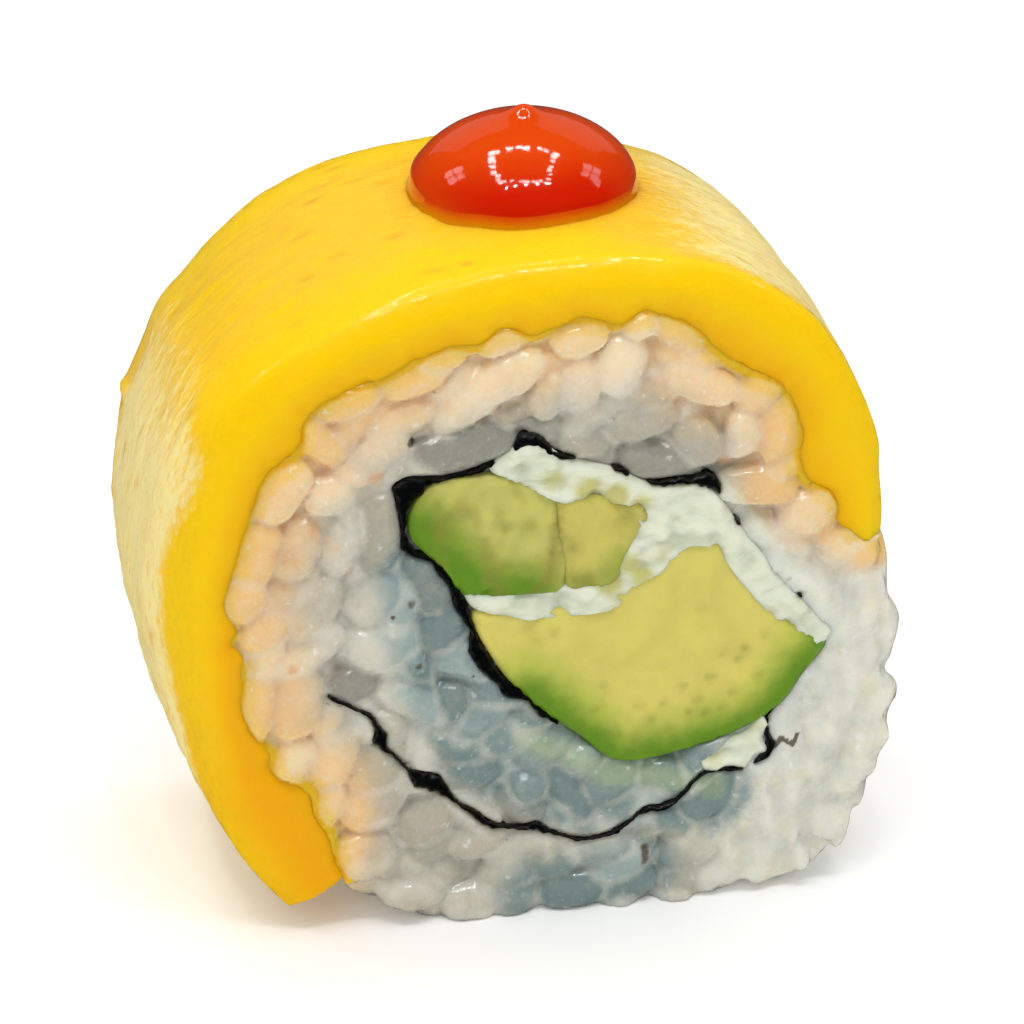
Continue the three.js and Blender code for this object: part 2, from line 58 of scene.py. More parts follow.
bl_info = {
    "name": "Mango Sushi Roll",
    "version": (1, 0, 0),
    "blender": (4, 5, 0),
    "location": "View3D > Sidebar > Sushi",
    "description": "Lays the mango, rice, nori, fillings and sauce of one roll piece over its frame",
    "category": "Object",
}

# Shapes are worked out in millimetres, like the frame's own, and turned into metres as a mesh is made.
MM = 0.001
AXIS_HEIGHT = 22.0
HALF_DEPTH = 12.0
# How much fuller the slice is at mid-depth, and the share of it that the right lacks and the left gains
SWELL = 0.04
SWELL_LESS_RIGHT = 0.4

# Where the mango starts and ends, in degrees about the axis from the right over the top
MANGO_START = 6.0
MANGO_END_INSIDE = 237.0
MANGO_END_OUTSIDE = 232.3
# The roll's radius where lengths are measured round it
ROLL_RADIUS = 23
# The grid that the rice is heaped in, and how deep the grains of a cut face go
HEAP_LOW, HEAP_HIGH = (-20.8, -13.0, -0.7), (25.2, 13.0, 42.2)
GRAINS_DEEP = 2.4
RICE_TRIANGLES, TRIANGLES_ALLOWED = 196000, 199000

# Radii about the roll's axis, as (angle, radius)
RIDGE_FRONT = (
    (6, 22.2), (16, 22.9), (22, 23.5), (38, 24.0), (50, 24.1), (64, 23.4), (80, 22.2), (98, 21.4),
    (118, 21.9), (138, 22.8), (152, 23.3), (172, 23.0), (190, 22.8), (206, 23.7), (220, 24.6), (236, 25.8),
)
RIDGE_BACK = (
    (6, 22.0), (22, 23.2), (38, 23.6), (50, 24.0), (64, 23.4), (80, 22.7), (98, 22.5), (118, 23.1),
    (138, 23.1), (147, 23.5), (156, 23.2), (172, 22.9), (190, 22.7), (206, 23.0), (220, 24.1), (236, 25.6),
)
MANGO_INSIDE = (
    (6, 21.0), (8, 20.4), (11, 19.8), (14, 19.6), (17, 19.3), (20, 18.3), (23, 18.1), (26, 18.3),
    (29, 18.9), (32, 19.4), (38, 20.0), (41, 20.0), (44, 19.6), (48, 19.2), (53, 19.1), (57, 19.4),
    (61, 19.8), (68, 19.8), (71, 19.4), (74, 18.4), (77, 18.5), (83, 18.5), (86, 18.0), (89, 17.5),
    (92, 17.5), (95, 18.1), (98, 18.0), (102, 17.4), (107, 17.9), (113, 17.9), (119, 17.9), (125, 18.3),
    (131, 19.0), (136, 19.3), (140, 18.5), (143, 18.2), (146, 18.6), (150, 19.1), (158, 19.1), (167, 18.9),
    (172, 19.4), (176, 19.3), (182, 18.8), (185, 19.1), (189, 18.6), (194, 18.9), (199, 19.3), (206, 19.1),
    (209, 18.9), (213, 19.4), (218, 18.5), (221, 18.5), (224, 19.2), (229, 19.8), (233, 20.9), (237, 21.9),
)
RICE_RIM = (
    (226, 21.4), (236, 22.4), (241, 22.3), (246, 23.0), (250, 23.0), (254, 22.6), (258, 23.1), (262, 22.8),
    (266, 22.3), (270, 22.0), (275, 22.4), (280, 22.7), (285, 24.2), (290, 25.9), (293, 25.6), (297, 26.3),
    (300, 24.4), (304, 25.9), (308, 26.9), (312, 27.7), (316, 27.8), (319, 27.2), (322, 26.8), (325, 26.2),
    (329, 26.0), (333, 26.0), (338, 24.0), (342, 23.5), (346, 23.7), (351, 23.1), (356, 22.5), (361, 22.2),
    (368, 22.0),
)

# Outlines on the cut face, as (x, z)
NORI_LINE = (
    (1.5, 13.4), (-0.4, 15.1), (-2.4, 17.4), (-3.8, 20.2), (-4.9, 22.7), (-6.2, 25.0), (-7.9, 26.8),
    (-8.2, 29.4), (-7.3, 30.7), (-4.3, 30.9), (-1.7, 31.7), (-0.4, 32.5), (2.0, 31.5), (5.2, 30.4),
    (7.4, 29.2), (10.8, 28.7), (13.0, 26.0), (16.7, 20.9), (18.8, 18.1), (18.8, 16.5), (16.8, 13.8),
    (15.2, 12.3), (14.9, 10.0), (13.4, 8.9), (10.8, 8.5), (8.6, 6.6), (7.1, 6.4), (4.6, 5.1),
    (2.8, 5.0), (0.2, 6.1), (-2.8, 6.5), (-5.0, 8.4), (-8.0, 11.0), (-9.6, 13.2), (-10.5, 15.0),
    (-12.9, 16.7),
)
AVOCADO_LARGE = (
    (-3.8, 21.4), (0.5, 21.3), (4.5, 21.7), (6.4, 23.1), (8.4, 24.5), (10.2, 25.7), (12.6, 23.3),
    (14.6, 20.4), (17.0, 18.5), (18.7, 17.5), (17.2, 15.2), (15.8, 13.2), (13.3, 11.7), (9.5, 10.6),
    (5.3, 10.3), (2.8, 12.4), (-0.5, 15.2), (-2.75, 18.4),
)
AVOCADO_LEFT = (
    (-7.7, 26.9), (-7.6, 28.6), (-6.2, 30.3), (-3.7, 30.6), (-0.7, 30.0), (1.2, 28.7), (1.6, 26.4),
    (1.95, 24.0), (1.6, 22.5), (-0.7, 22.4), (-2.6, 22.3), (-4.5, 22.8), (-5.75, 24.6), (-6.85, 25.8),
)
AVOCADO_MIDDLE = (
    (1.5, 28.8), (3.9, 28.7), (6.9, 27.5), (6.9, 26.2), (5.8, 23.9), (4.5, 22.4), (2.2, 22.4),
    (1.8, 24.6), (1.4, 26.6),
)
CHEESE = (
    (-2.8, 31.0), (-0.5, 32.6), (2.0, 31.4), (5.2, 30.2), (7.4, 29.1), (10.8, 28.6), (13.2, 25.4),
    (16.6, 20.9), (19.0, 18.1), (18.2, 17.0), (16.0, 18.4), (13.8, 20.4), (11.8, 23.4), (10.0, 24.6),
    (8.4, 23.2), (6.6, 22.2), (5.2, 20.9), (2.6, 20.5), (-1.4, 20.7), (-4.0, 21.9), (-4.5, 23.1),
    (-2.6, 22.7), (0.0, 22.9), (2.4, 22.9), (4.0, 23.1), (5.0, 24.2), (6.3, 26.4), (6.2, 27.3),
    (3.7, 28.2), (1.4, 28.3), (-0.2, 29.3), (-1.6, 30.1),
)
CHEESE_CORNER = (
    (10.4, 9.7), (11.5, 10.5), (12.4, 11.2), (13.5, 11.5), (14.5, 12.7), (15.1, 12.1), (14.7, 11.0),
    (15.0, 10.0), (14.2, 9.7), (13.6, 8.9), (12.5, 9.2), (11.5, 8.8),
)

# The grains that stand out on the cut face: both tips (x, z, x, z), width, paleness, how far it is proud
FACE_GRAINS = (
    (-7.7, 31.8, -1.1, 32.8, 2.7, -0.9, 0.45), (-11.7, 30.9, -7.9, 33.7, 2.3, 0.35, 0.5),
    (-6.1, 34.0, -2.5, 35.9, 2.1, 0.5, 0.35), (-4.1, 35.6, 0.3, 37.9, 2.5, 0.6, 0.55),
    (-14.6, 34.7, -11.6, 32.2, 2.1, 0.0, 0.3), (-13.0, 35.4, -9.7, 36.6, 2.0, 0.0, 0.25),
    (-6.8, 37.9, -4.1, 39.0, 1.7, 0.1, 0.2), (-3.3, 38.9, -0.4, 39.7, 1.8, 0.4, 0.3),
    (-9.3, 36.4, -5.4, 37.8, 2.0, 0.1, 0.25), (-2.4, 34.1, 0.6, 35.4, 1.6, -0.5, -0.1),
    (-10.1, 33.7, -6.2, 35.2, 2.0, 0.3, 0.1), (1.3, 38.6, 4.3, 39.4, 2.1, 0.4, 0.4),
    (5.8, 39.2, 7.2, 40.0, 1.8, 0.6, 0.45), (7.4, 40.0, 10.3, 37.9, 2.0, 0.2, 0.3),
    (7.6, 37.6, 11.4, 36.8, 1.8, 0.2, 0.1), (2.6, 34.4, 3.1, 37.5, 2.5, 0.5, 0.45),
    (4.7, 35.4, 6.0, 38.6, 2.8, 0.8, 0.5), (0.5, 34.1, 1.5, 36.8, 1.9, 0.3, 0.3),
    (8.1, 36.6, 12.4, 34.5, 2.3, 0.4, 0.5), (12.9, 33.7, 15.0, 35.8, 2.6, 0.2, 0.3),
    (12.9, 30.5, 13.1, 33.1, 2.1, 0.5, 0.4), (15.0, 30.0, 15.5, 34.2, 2.5, 0.0, 0.4),
    (4.7, 32.9, 8.8, 33.6, 2.4, -0.1, 0.2), (9.4, 32.8, 11.2, 30.3, 2.6, 0.0, 0.35),
    (5.5, 30.8, 10.1, 30.1, 2.3, -0.7, 0.1), (11.6, 28.6, 16.4, 27.9, 2.4, -0.1, 0.45),
    (15.9, 25.3, 18.9, 27.4, 2.9, 0.4, 0.45), (14.4, 29.0, 16.6, 29.8, 1.8, 0.1, 0.1),
    (1.5, 32.3, 4.7, 31.8, 2.1, -0.3, 0.0), (18.0, 23.1, 21.3, 24.6, 2.4, 0.4, 0.2),
    (-16.5, 28.8, -14.3, 32.2, 2.6, 0.3, 0.55), (-13.8, 29.4, -11.3, 30.4, 2.3, 0.5, 0.4),
    (-9.8, 24.6, -9.2, 29.8, 2.8, -0.3, 0.4), (-12.4, 24.8, -11.1, 28.9, 2.4, 0.4, 0.3),
    (-17.8, 24.4, -16.3, 28.4, 2.6, 0.0, 0.3), (-15.3, 24.5, -13.8, 28.1, 2.3, 0.2, 0.2),
    (-19.0, 22.4, -17.0, 24.8, 2.8, 0.1, 0.3), (-14.8, 20.7, -12.4, 24.4, 2.8, 0.2, 0.35),
    (-17.8, 20.3, -15.2, 22.3, 2.3, 0.1, 0.2), (-11.5, 19.1, -7.1, 20.1, 3.5, 0.6, 0.3),
    (-11.1, 21.4, -8.7, 24.0, 2.9, 0.4, 0.25), (-7.4, 25.7, -5.9, 21.9, 2.6, -0.5, 0.2),
    (-6.6, 19.2, -5.0, 21.4, 2.8, -0.3, 0.15), (-12.7, 16.4, -10.0, 17.5, 2.3, -0.8, 0.15),
    (-15.3, 13.9, -14.1, 18.4, 3.1, 0.1, 0.5), (-17.8, 13.8, -17.1, 18.4, 2.4, 0.0, 0.25),
    (-13.5, 10.2, -11.7, 14.1, 2.9, 0.2, 0.35), (-16.1, 10.8, -14.3, 13.6, 2.3, 0.5, 0.35),
    (-11.0, 9.6, -8.5, 12.7, 2.9, -0.1, 0.3), (-12.0, 7.6, -8.5, 9.9, 3.1, 0.1, 0.35),
    (-12.7, 4.5, -9.1, 5.6, 3.3, 0.1, 0.3), (-13.7, 7.4, -12.5, 10.3, 2.0, 0.2, 0.2),
    (-8.1, 6.1, -5.1, 8.5, 2.9, -0.1, 0.25), (-5.2, 4.7, -1.9, 6.0, 2.3, 0.1, 0.15),
    (-9.7, 2.8, -5.7, 2.6, 2.6, 0.2, 0.2), (-5.7, 1.2, -2.3, 1.7, 2.8, 0.4, 0.4),
    (-2.1, 0.0, -0.3, 2.6, 2.3, 0.0, 0.2), (0.6, 1.5, 4.9, 1.9, 2.6, -0.2, 0.35),
    (0.2, 3.6, 2.9, 4.4, 2.1, 0.0, 0.2), (-3.3, 2.9, -0.3, 3.9, 2.3, 0.2, 0.2),
    (4.5, 0.4, 7.5, 2.5, 2.8, -0.1, 0.3), (8.6, 2.9, 12.0, 5.2, 3.0, 0.2, 0.3),
    (8.6, 1.0, 11.6, 2.2, 2.6, 0.1, 0.2), (-6.1, 9.8, -2.3, 10.6, 2.5, -0.2, 0.0),
    (-4.2, 15.7, 0.3, 15.9, 2.6, 0.1, 0.1), (-1.0, 11.1, 2.5, 11.8, 2.5, 0.2, 0.1),
    (3.5, 7.8, 6.7, 9.6, 2.6, 0.1, 0.1), (6.7, 9.2, 10.6, 7.8, 2.4, 0.0, 0.0),
    (-2.3, 8.5, 0.6, 6.6, 2.1, -0.5, 0.0),
)

# How much of the nori shows on the cut face: share of its length, thickness there, shift to its right
NORI_SHOWS = (
    (0.0, 0.3, -0.1), (0.012, 0.4, -0.1), (0.024, 0.12, 0.0), (0.031, 0.45, 0.0), (0.038, 1.0, -0.3),
    (0.05, 0.6, -0.2), (0.063, 0.9, -0.38), (0.078, 0.9, -0.42), (0.087, 0.22, -0.1), (0.099, 0.35, 0.0),
    (0.108, 0.85, 0.0), (0.118, 0.65, 0.1), (0.126, 0.32, 0.1), (0.137, 0.62, 0.08), (0.149, 0.16, 0.0),
    (0.161, 0.45, -0.4), (0.168, 0.55, -0.3), (0.175, 0.18, -0.1), (0.186, 0.45, 0.12), (0.195, 0.85, 0.15),
    (0.205, 1.75, 0.1), (0.212, 1.5, 0.4), (0.219, 0.7, 0.42), (0.232, 0.26, 0.25), (0.245, 0.3, 0.1),
    (0.261, 0.45, 0.1), (0.279, 0.3, 0.0), (0.288, 0.85, -0.18), (0.3, 0.6, 0.0), (0.307, 0.25, 0.2),
    (0.317, 0.35, 0.1), (0.325, 0.0, 0.0), (0.347, 0.0, 0.1), (0.354, 0.4, 0.15), (0.362, 0.05, 0.1),
    (0.372, 0.02, 0.0), (0.38, 0.4, 0.0), (0.391, 0.5, -0.15), (0.403, 0.34, -0.08), (0.412, 1.0, -0.3),
    (0.419, 0.6, -0.3), (0.425, 0.0, 0.0), (0.443, 0.0, 0.1), (0.447, 0.3, 0.15), (0.452, 0.0, 0.1),
    (0.513, 0.0, 0.0), (0.517, 0.28, -0.05), (0.521, 0.0, 0.0), (0.615, 0.0, 0.3), (0.627, 0.42, 0.3),
    (0.637, 0.3, 0.05), (0.647, 0.55, -0.3), (0.655, 0.25, -0.12), (0.664, 0.02, 0.0), (0.672, 0.2, 0.05),
    (0.68, 0.25, 0.15), (0.69, 0.16, 0.3), (0.705, 0.12, 0.0), (0.72, 0.15, 0.0), (0.729, 0.35, 0.1),
    (0.739, 0.42, 0.16), (0.748, 0.1, 0.0), (0.762, 0.3, -0.12), (0.77, 0.22, -0.08), (0.78, 0.14, 0.0),
    (0.8, 0.12, 0.0), (0.813, 0.38, -0.12), (0.82, 0.62, 0.05), (0.828, 0.25, -0.12), (0.834, 0.14, 0.0),
    (0.841, 0.22, 0.08), (0.853, 0.45, 0.1), (0.866, 0.4, 0.15), (0.88, 0.18, 0.0), (0.888, 0.42, 0.15),
    (0.9, 1.2, 0.3), (0.91, 1.15, -0.05), (0.919, 0.26, 0.0), (0.935, 0.16, 0.05), (0.944, 0.36, -0.2),
    (0.95, 1.05, -0.05), (0.957, 0.32, 0.1), (0.969, 0.3, 0.15), (0.978, 0.16, -0.1), (1.0, 0.16, -0.1),
)

# Small marks on the rice of the cut face, as (x, z, size, amount): orange painted shade in the gaps between
# grains, and dark ones
GAP_SHADE_MARKS = (
    (-9.9, 31.1, 0.9, 1.0), (-12.7, 32.0, 0.7, 0.8), (-15.0, 26.2, 1.2, 0.6), (-12.8, 26.8, 1.1, 0.6),
    (9.1, 34.3, 0.55, 0.9), (11.9, 30.0, 0.7, 1.0), (17.4, 27.8, 0.45, 0.7), (-13.7, 27.9, 0.9, 0.75),
    (-15.4, 24.1, 0.4, 0.8), (-15.1, 18.7, 0.5, 0.9), (-12.6, 7.5, 0.5, 0.7), (-11.6, 24.9, 0.8, 0.6),
    (-2.0, 36.4, 0.35, 0.5), (4.0, 34.6, 0.4, 0.6), (-9.0, 36.2, 0.4, 0.7), (-4.9, 37.6, 0.4, 0.6),
    (12.4, 33.9, 0.4, 0.6), (7.4, 36.4, 0.35, 0.5),
)
DARK_MARKS = (
    (12.5, 26.7, 0.26, 0.9), (13.0, 25.7, 0.22, 0.8), (16.1, 22.0, 0.24, 0.9), (16.7, 20.9, 0.22, 0.8),
    (-8.9, 21.6, 0.22, 0.9), (-7.6, 33.1, 0.35, 1.0), (-7.7, 22.4, 0.5, 0.7), (-7.3, 18.2, 0.4, 0.75),
    (7.2, 3.0, 0.5, 0.8), (7.15, 3.5, 0.5, 0.8), (7.1, 4.0, 0.45, 0.8), (-9.3, 12.7, 0.3, 0.6),
    (-6.0, 14.8, 0.3, 0.5), (0.4, 8.3, 0.35, 0.5), (-2.6, 9.2, 0.35, 0.5), (14.0, 24.6, 0.22, 0.6),
    (-10.4, 18.2, 0.16, 0.6),
)
BROWN_THREAD = ((15.0, 11.2), (15.5, 10.2), (15.9, 10.9), (16.7, 10.2), (17.0, 10.9))

# Lines that the rice takes its tints beside, as (x, z); the rice is greyer inside the nori, and along the
# bottom the tint is painted shade
COOL_INSIDE = ((-6.6, 24.0), (-5.6, 17.5), (-2.6, 12.0), (3.5, 8.6), (11.0, 8.0))
SHADE_BELOW = ((0.0, 1.5), (7.0, 2.5))
CREAMY_BESIDE = ((11.4, 28.2), (13.6, 25.2), (16.8, 21.0), (19.0, 18.2))
LEAFY_UNDER = ((-0.5, 12.5), (4.5, 9.6), (9.0, 8.6), (11.5, 8.0))

# The pieces of avocado. Relief is rows of height, size and seed; green and the painted shade where two pieces
# meet are an amount, a line and the distances from it between which the colour fades; specks are (x, z,
# amount).
SOFT = ((0.12, 5.0, 41), (0.05, 1.6, 43))
DENTED = ((0.2, 3.6, 45), (0.07, 1.3, 47))
SKIN_LARGE = ((-0.4, 15.0), (2.6, 12.2), (5.3, 10.0), (9.5, 10.2), (13.5, 11.4), (16.0, 13.2), (18.7, 17.3))
AVOCADOS = {
    "large": dict(
        outline=AVOCADO_LARGE, recess=0.05, relief=SOFT, spacing=0.42, round_edge=0.35,
        green=(1.0, SKIN_LARGE, 0.0, 4.9), seam_shade=(0.0, SKIN_LARGE, -0.3, 0.9), speck_size=0.3,
        specks=(
            (4.4, 15.6, 0.5), (5.2, 12.3, 0.7), (7.4, 13.0, 0.6), (9.4, 15.2, 0.6), (10.4, 14.2, 0.8),
            (11.2, 15.6, 0.7), (12.6, 14.6, 0.6), (3.0, 13.0, 0.6), (8.6, 12.4, 0.5), (12.0, 17.2, 0.5),
            (10.6, 20.4, 0.4), (1.2, 19.8, 0.5), (0.2, 19.2, 0.4), (6.6, 14.2, 0.5), (2.2, 16.2, 0.3),
            (13.4, 17.4, 0.8), (13.0, 16.8, 0.7), (9.8, 13.4, 0.7), (8.2, 14.2, 0.6), (10.9, 13.2, 0.8),
            (12.0, 13.4, 0.6), (6.2, 11.8, 0.7), (14.2, 15.6, 0.6), (3.8, 14.2, 0.5), (14.6, 18.4, 0.5),
        ),
        paint="avocado_butter", heart="avocado_heart", flesh="avocado_flesh", patchy=0.12,
    ),
    "left": dict(
        outline=AVOCADO_LEFT, recess=0.1, relief=DENTED, spacing=0.36, round_edge=0.22,
        green=(1.0, ((-7.6, 27.2), (-6.6, 25.9), (-5.2, 24.2), (-3.4, 22.6), (-0.6, 22.3)), 0.3, 4.2),
        seam_shade=(0.75, ((1.3, 28.2), (1.3, 26.4), (1.0, 24.6), (0.6, 23.4), (-0.4, 22.4)), -0.3, 0.9),
        specks=((-4.2, 28.4, 0.6), (-0.4, 27.2, 0.7), (-2.2, 27.4, 0.4), (-6.9, 27.6, 0.5)), speck_size=0.5,
        paint="avocado_leafy", heart="avocado_light", flesh="avocado_mid", patchy=0.6,
    ),
    "middle": dict(
        outline=AVOCADO_MIDDLE, recess=0.12, relief=DENTED, spacing=0.34, round_edge=0.18,
        green=(0.45, ((2.6, 22.6), (4.2, 22.8), (5.4, 24.0)), 0.2, 2.2),
        seam_shade=(0.6, ((1.6, 28.4), (1.7, 26.4), (2.1, 24.4), (2.4, 22.6)), -0.3, 0.9),
        specks=((5.6, 27.2, 0.6), (2.4, 25.2, 0.6), (3.0, 23.4, 0.4)), speck_size=0.45,
        paint="avocado_olive", heart="avocado_olive", flesh="avocado_mid", patchy=0.6,
    ),
}

# The cream cheese: name, node, outline, recess, spacing, rounding of its edge, and smears of avocado
CHEESE_LUMPS = ((0.26, 3.0, 51), (0.12, 1.2, 53))
CHEESES = (
    ("cheese_band", "cream_cheese", CHEESE, 0.12, 0.32, 0.3, (
        (3.2, 29.3, 1.1), (5.0, 28.7, 1.1), (6.6, 28.0, 0.9), (1.2, 30.0, 0.7), (4.6, 22.9, 1.3),
        (5.9, 24.0, 1.0), (6.6, 23.2, 1.0), (5.2, 21.9, 0.6), (14.9, 19.9, 0.4), (7.9, 24.2, 0.6),
    )),
    ("cheese_lump", "cream_cheese_corner", CHEESE_CORNER, 0.14, 0.3, 0.22, (
        (11.6, 9.9, 0.6), (14.2, 12.2, 0.4),
    )),
)

# The mango's cut face, from its thin inner edge under the rice out to the ridge: share across, depth
MANGO_FACE = (
    (0.0, 1.15), (0.05, 0.93), (0.1, 0.7), (0.15, 0.5), (0.2, 0.34), (0.26, 0.21), (0.33, 0.11), (0.42, 0.04),
    (0.52, 0.0), (0.62, 0.0), (0.71, 0.02), (0.785, 0.1), (0.85, 0.25), (0.905, 0.46), (0.95, 0.72),
    (0.985, 1.02),
)
# How much nearer to the axis its inner edge lies at the cut faces, tucked in under the rice
MANGO_TUCK = 0.9

# The drop of sauce: its middle as (x, y), the height of its widest ring, its top without the tip, its radius
DROP_AT = (1.8, 0.6)
DROP_WIDEST = 44.6
DROP_TOP = 49.35
DROP_RADIUS = 7.05
# Where the sauce wets the mango, from outside in: how far past the drop's side, and how high
DROP_FOOT = ((0.2, -0.1), (0.17, 0.0), (0.12, 0.06), (0.07, 0.17), (0.03, 0.36), (0.01, 0.66))
SAUCE_UNDER = 0.12
DROP_TIP = 0.5

# The camera: degrees round and up, metres from its target, and the lens in millimetres
VIEW_TURN, VIEW_TILT = -11.5, 24.5
VIEW_TARGET, VIEW_FAR = (0.000941, 0.0, 0.022625), 0.3
VIEW_LENS = 165.36


def linear(red, green, blue):
    """A colour read off a screen, as the shader needs it."""
    return tuple(
        (c / 255 / 12.92) if c <= 10 else ((c / 255 + 0.055) / 1.055) ** 2.4 for c in (red, green, blue)
    )


# Curves and outlines


def radius_curve(knots):
    """The radius at any angle, from knots joined by a smooth curve."""
    knots = np.array(knots, float)
    padded = np.vstack([knots[:1], knots, knots[-1:]])
    rows = []
    for i in range(len(knots) - 1):
        p0, p1, p2, p3 = padded[i : i + 4]
        for t in np.linspace(0, 1, 12, endpoint=i == len(knots) - 2):
            v0, v1 = (p2 - p0) / 2, (p3 - p1) / 2
            rows.append(
                (2 * p1 - 2 * p2 + v0 + v1) * t**3 + (-3 * p1 + 3 * p2 - 2 * v0 - v1) * t**2 + v0 * t + p1
            )
    rows = np.array(rows)
    return lambda angle: np.interp(angle, rows[:, 0], rows[:, 1])


ridge_front, ridge_back = radius_curve(RIDGE_FRONT), radius_curve(RIDGE_BACK)
mango_inside, rice_rim = radius_curve(MANGO_INSIDE), radius_curve(RICE_RIM)


def smooth_step(value):
    """0 to 1 as the value goes from 0 to 1, eased at both ends."""
    share = np.clip(value, 0, 1)
    return share * share * (3 - 2 * share)


def past_start(angle):
    """An angle counted on from the mango's start."""
    return (angle - MANGO_START) % 360 + MANGO_START


def polar(x, z):
    """The angle about the roll's axis in degrees, the same counted on from the mango's start, the radius."""
    angle = np.degrees(np.arctan2(z - AXIS_HEIGHT, x))
    return angle, past_start(angle), np.hypot(x, z - AXIS_HEIGHT)


def at_face(y, start=7, ease=4):
    """0 inside the slice and 1 near its cut faces."""
    return smooth_step((np.abs(y) - start) / ease)


def mango_ridge(angle, y):
    """The mango's outer radius at an angle and a depth, with its rounded edges, the rounder on the left."""
    share = smooth_step(y / (2 * HALF_DEPTH) + 0.5)
    left = smooth_step((angle - 136) / 24) * (1 - smooth_step((angle - 200) / 24)) * (y < 0)
    edge = 1 - smooth_step((HALF_DEPTH - np.abs(y)) / (1.3 + 3.4 * left))
    return ridge_front(angle) * (1 - share) + ridge_back(angle) * share - (0.5 + 1.0 * left) * edge


def nori_shows(share):
    """How thick the nori looks on the cut face, how far it is shifted, and how far it lies behind."""
    knots = np.array(NORI_SHOWS)
    thick, shift = np.interp(share, knots[:, 0], knots[:, 1]), np.interp(share, knots[:, 0], knots[:, 2])
    return thick, shift, 1.5 - 1.38 * smooth_step((thick - 0.02) / 0.1)


def rice_radius(angle):
    """The rice's outer radius: the mango's inside under it, and the bare rim elsewhere."""
    around = past_start(angle)
    return np.where(around < MANGO_END_INSIDE, mango_inside(around), rice_rim(around))


def settle(points):
    """The slice is fuller at mid-depth than at its cut faces, except where it rests."""
    x, y, z = points.T
    reach = np.clip(y / HALF_DEPTH, -1, 1)
    up = z - AXIS_HEIGHT
    side = x / np.maximum(np.hypot(x, up), 1)
    lift = smooth_step(z / AXIS_HEIGHT)
    grow = 1 + SWELL * (1 - SWELL_LESS_RIGHT * side) * lift * (1 - reach**2)
    return np.column_stack([x * grow, y, AXIS_HEIGHT + up * grow])


def smooth_line(knots, closed, spacing):
    """Evenly spaced points along a smooth curve through the knots."""
    knots = np.array(knots, float)
    count = len(knots)
    rows = []
    for i in range(count if closed else count - 1):
        if closed:
            p0, p1, p2, p3 = (knots[(i + k - 1) % count] for k in range(4))
        else:
            p1, p2 = knots[i], knots[i + 1]
            p0 = knots[i - 1] if i else 2 * p1 - p2
            p3 = knots[i + 2] if i + 2 < count else 2 * p2 - p1
        gaps = ((p0, p1), (p1, p2), (p2, p3))
        d0, d1, d2 = (max(np.linalg.norm(b - a) ** 0.5, 1e-4) for a, b in gaps)
        v1 = ((p1 - p0) / d0 - (p2 - p0) / (d0 + d1) + (p2 - p1) / d1) * d1
        v2 = ((p2 - p1) / d1 - (p3 - p1) / (d1 + d2) + (p3 - p2) / d2) * d1
        t = np.linspace(0, 1, 24, endpoint=False)[:, None]
        square, cube = -3 * p1 + 3 * p2 - 2 * v1 - v2, 2 * p1 - 2 * p2 + v1 + v2
        rows.append(p1 + v1 * t + square * t**2 + cube * t**3)
    rows = np.vstack(rows + [knots[:1] if closed else knots[-1:]])
    length = np.concatenate([[0], np.cumsum(np.linalg.norm(np.diff(rows, axis=0), axis=1))])
    steps = np.linspace(0, length[-1], max(8, round(length[-1] / spacing)) + 1)
    even = np.column_stack([np.interp(steps, length, rows[:, k]) for k in range(2)])
    return even[:-1] if closed else even


def turned_right(line, closed):
    """The unit direction to the right of a line's run at each point."""
    if closed:
        run = np.roll(line, -1, 0) - np.roll(line, 1, 0)
    else:
        run = np.gradient(line, axis=0)
    run /= np.linalg.norm(run, axis=1)[:, None]
    return np.column_stack([run[:, 1], -run[:, 0]])


def signed_area(outline):
    """Twice an outline's area, negative if it runs clockwise."""
    x, z = outline.T
    return np.sum(x * np.roll(z, -1) - np.roll(x, -1) * z)


def grown(outline, amount):
    """An outline with each point moved outwards."""
    return outline + turned_right(outline, True) * amount * np.sign(signed_area(outline))


def line_distance(points, line, closed=False):
    """Distance to the nearest stretch of a line, and how far along the line it is, as a share."""
    ends = np.roll(line, -1, 0) if closed else line[1:]
    starts = line if closed else line[:-1]
    best = np.full(len(points), 1e9)
    along = np.zeros(len(points))
    for i, (a, b) in enumerate(zip(starts, ends)):
        run = b - a
        share = np.clip((points - a) @ run / max(run @ run, 1e-9), 0, 1)
        gap = points - a - share[:, None] * run
        gap = np.einsum("ij,ij->i", gap, gap)
        nearer = gap < best
        best = np.where(nearer, gap, best)
        along = np.where(nearer, (i + share) / len(starts), along)
    return np.sqrt(best), along


def gap_to(line, points):
    """Distance on the cut face from each point to a line."""
    return line_distance(points[:, [0, 2]], np.array(line, float))[0]


def outline_distance(points, outline):
    """Distance to a closed outline, negative inside it."""
    far, _ = line_distance(points, outline, True)
    inside = np.zeros(len(points), bool)
    x, z = points.T
    for a, b in zip(outline, np.roll(outline, -1, 0)):
        if a[1] != b[1]:
            crosses = (a[1] > z) != (b[1] > z)
            inside ^= crosses & (x < a[0] + (z - a[1]) * (b[0] - a[0]) / (b[1] - a[1]))
    return np.where(inside, -far, far)


def ripples(points, size, seed, spread=0.4, count=28):
    """A smooth random height at each point, mostly between -1 and 1, in swells about `size` across."""
    draw = np.random.default_rng(seed)
    total = np.zeros(len(points))
    for _ in range(count):
        way = draw.normal(size=points.shape[1])
        way *= 2 * math.pi / size / np.linalg.norm(way) * draw.uniform(1 - spread, 1 + spread)
        total += np.sin(points @ way + draw.uniform(0, 2 * math.pi))
    return total / math.sqrt(count)


def swells(points, *rows):
    """Ripples together, each row their height, size and seed."""
    return sum(height * ripples(points, size, seed) for height, size, seed in rows)


# Meshes


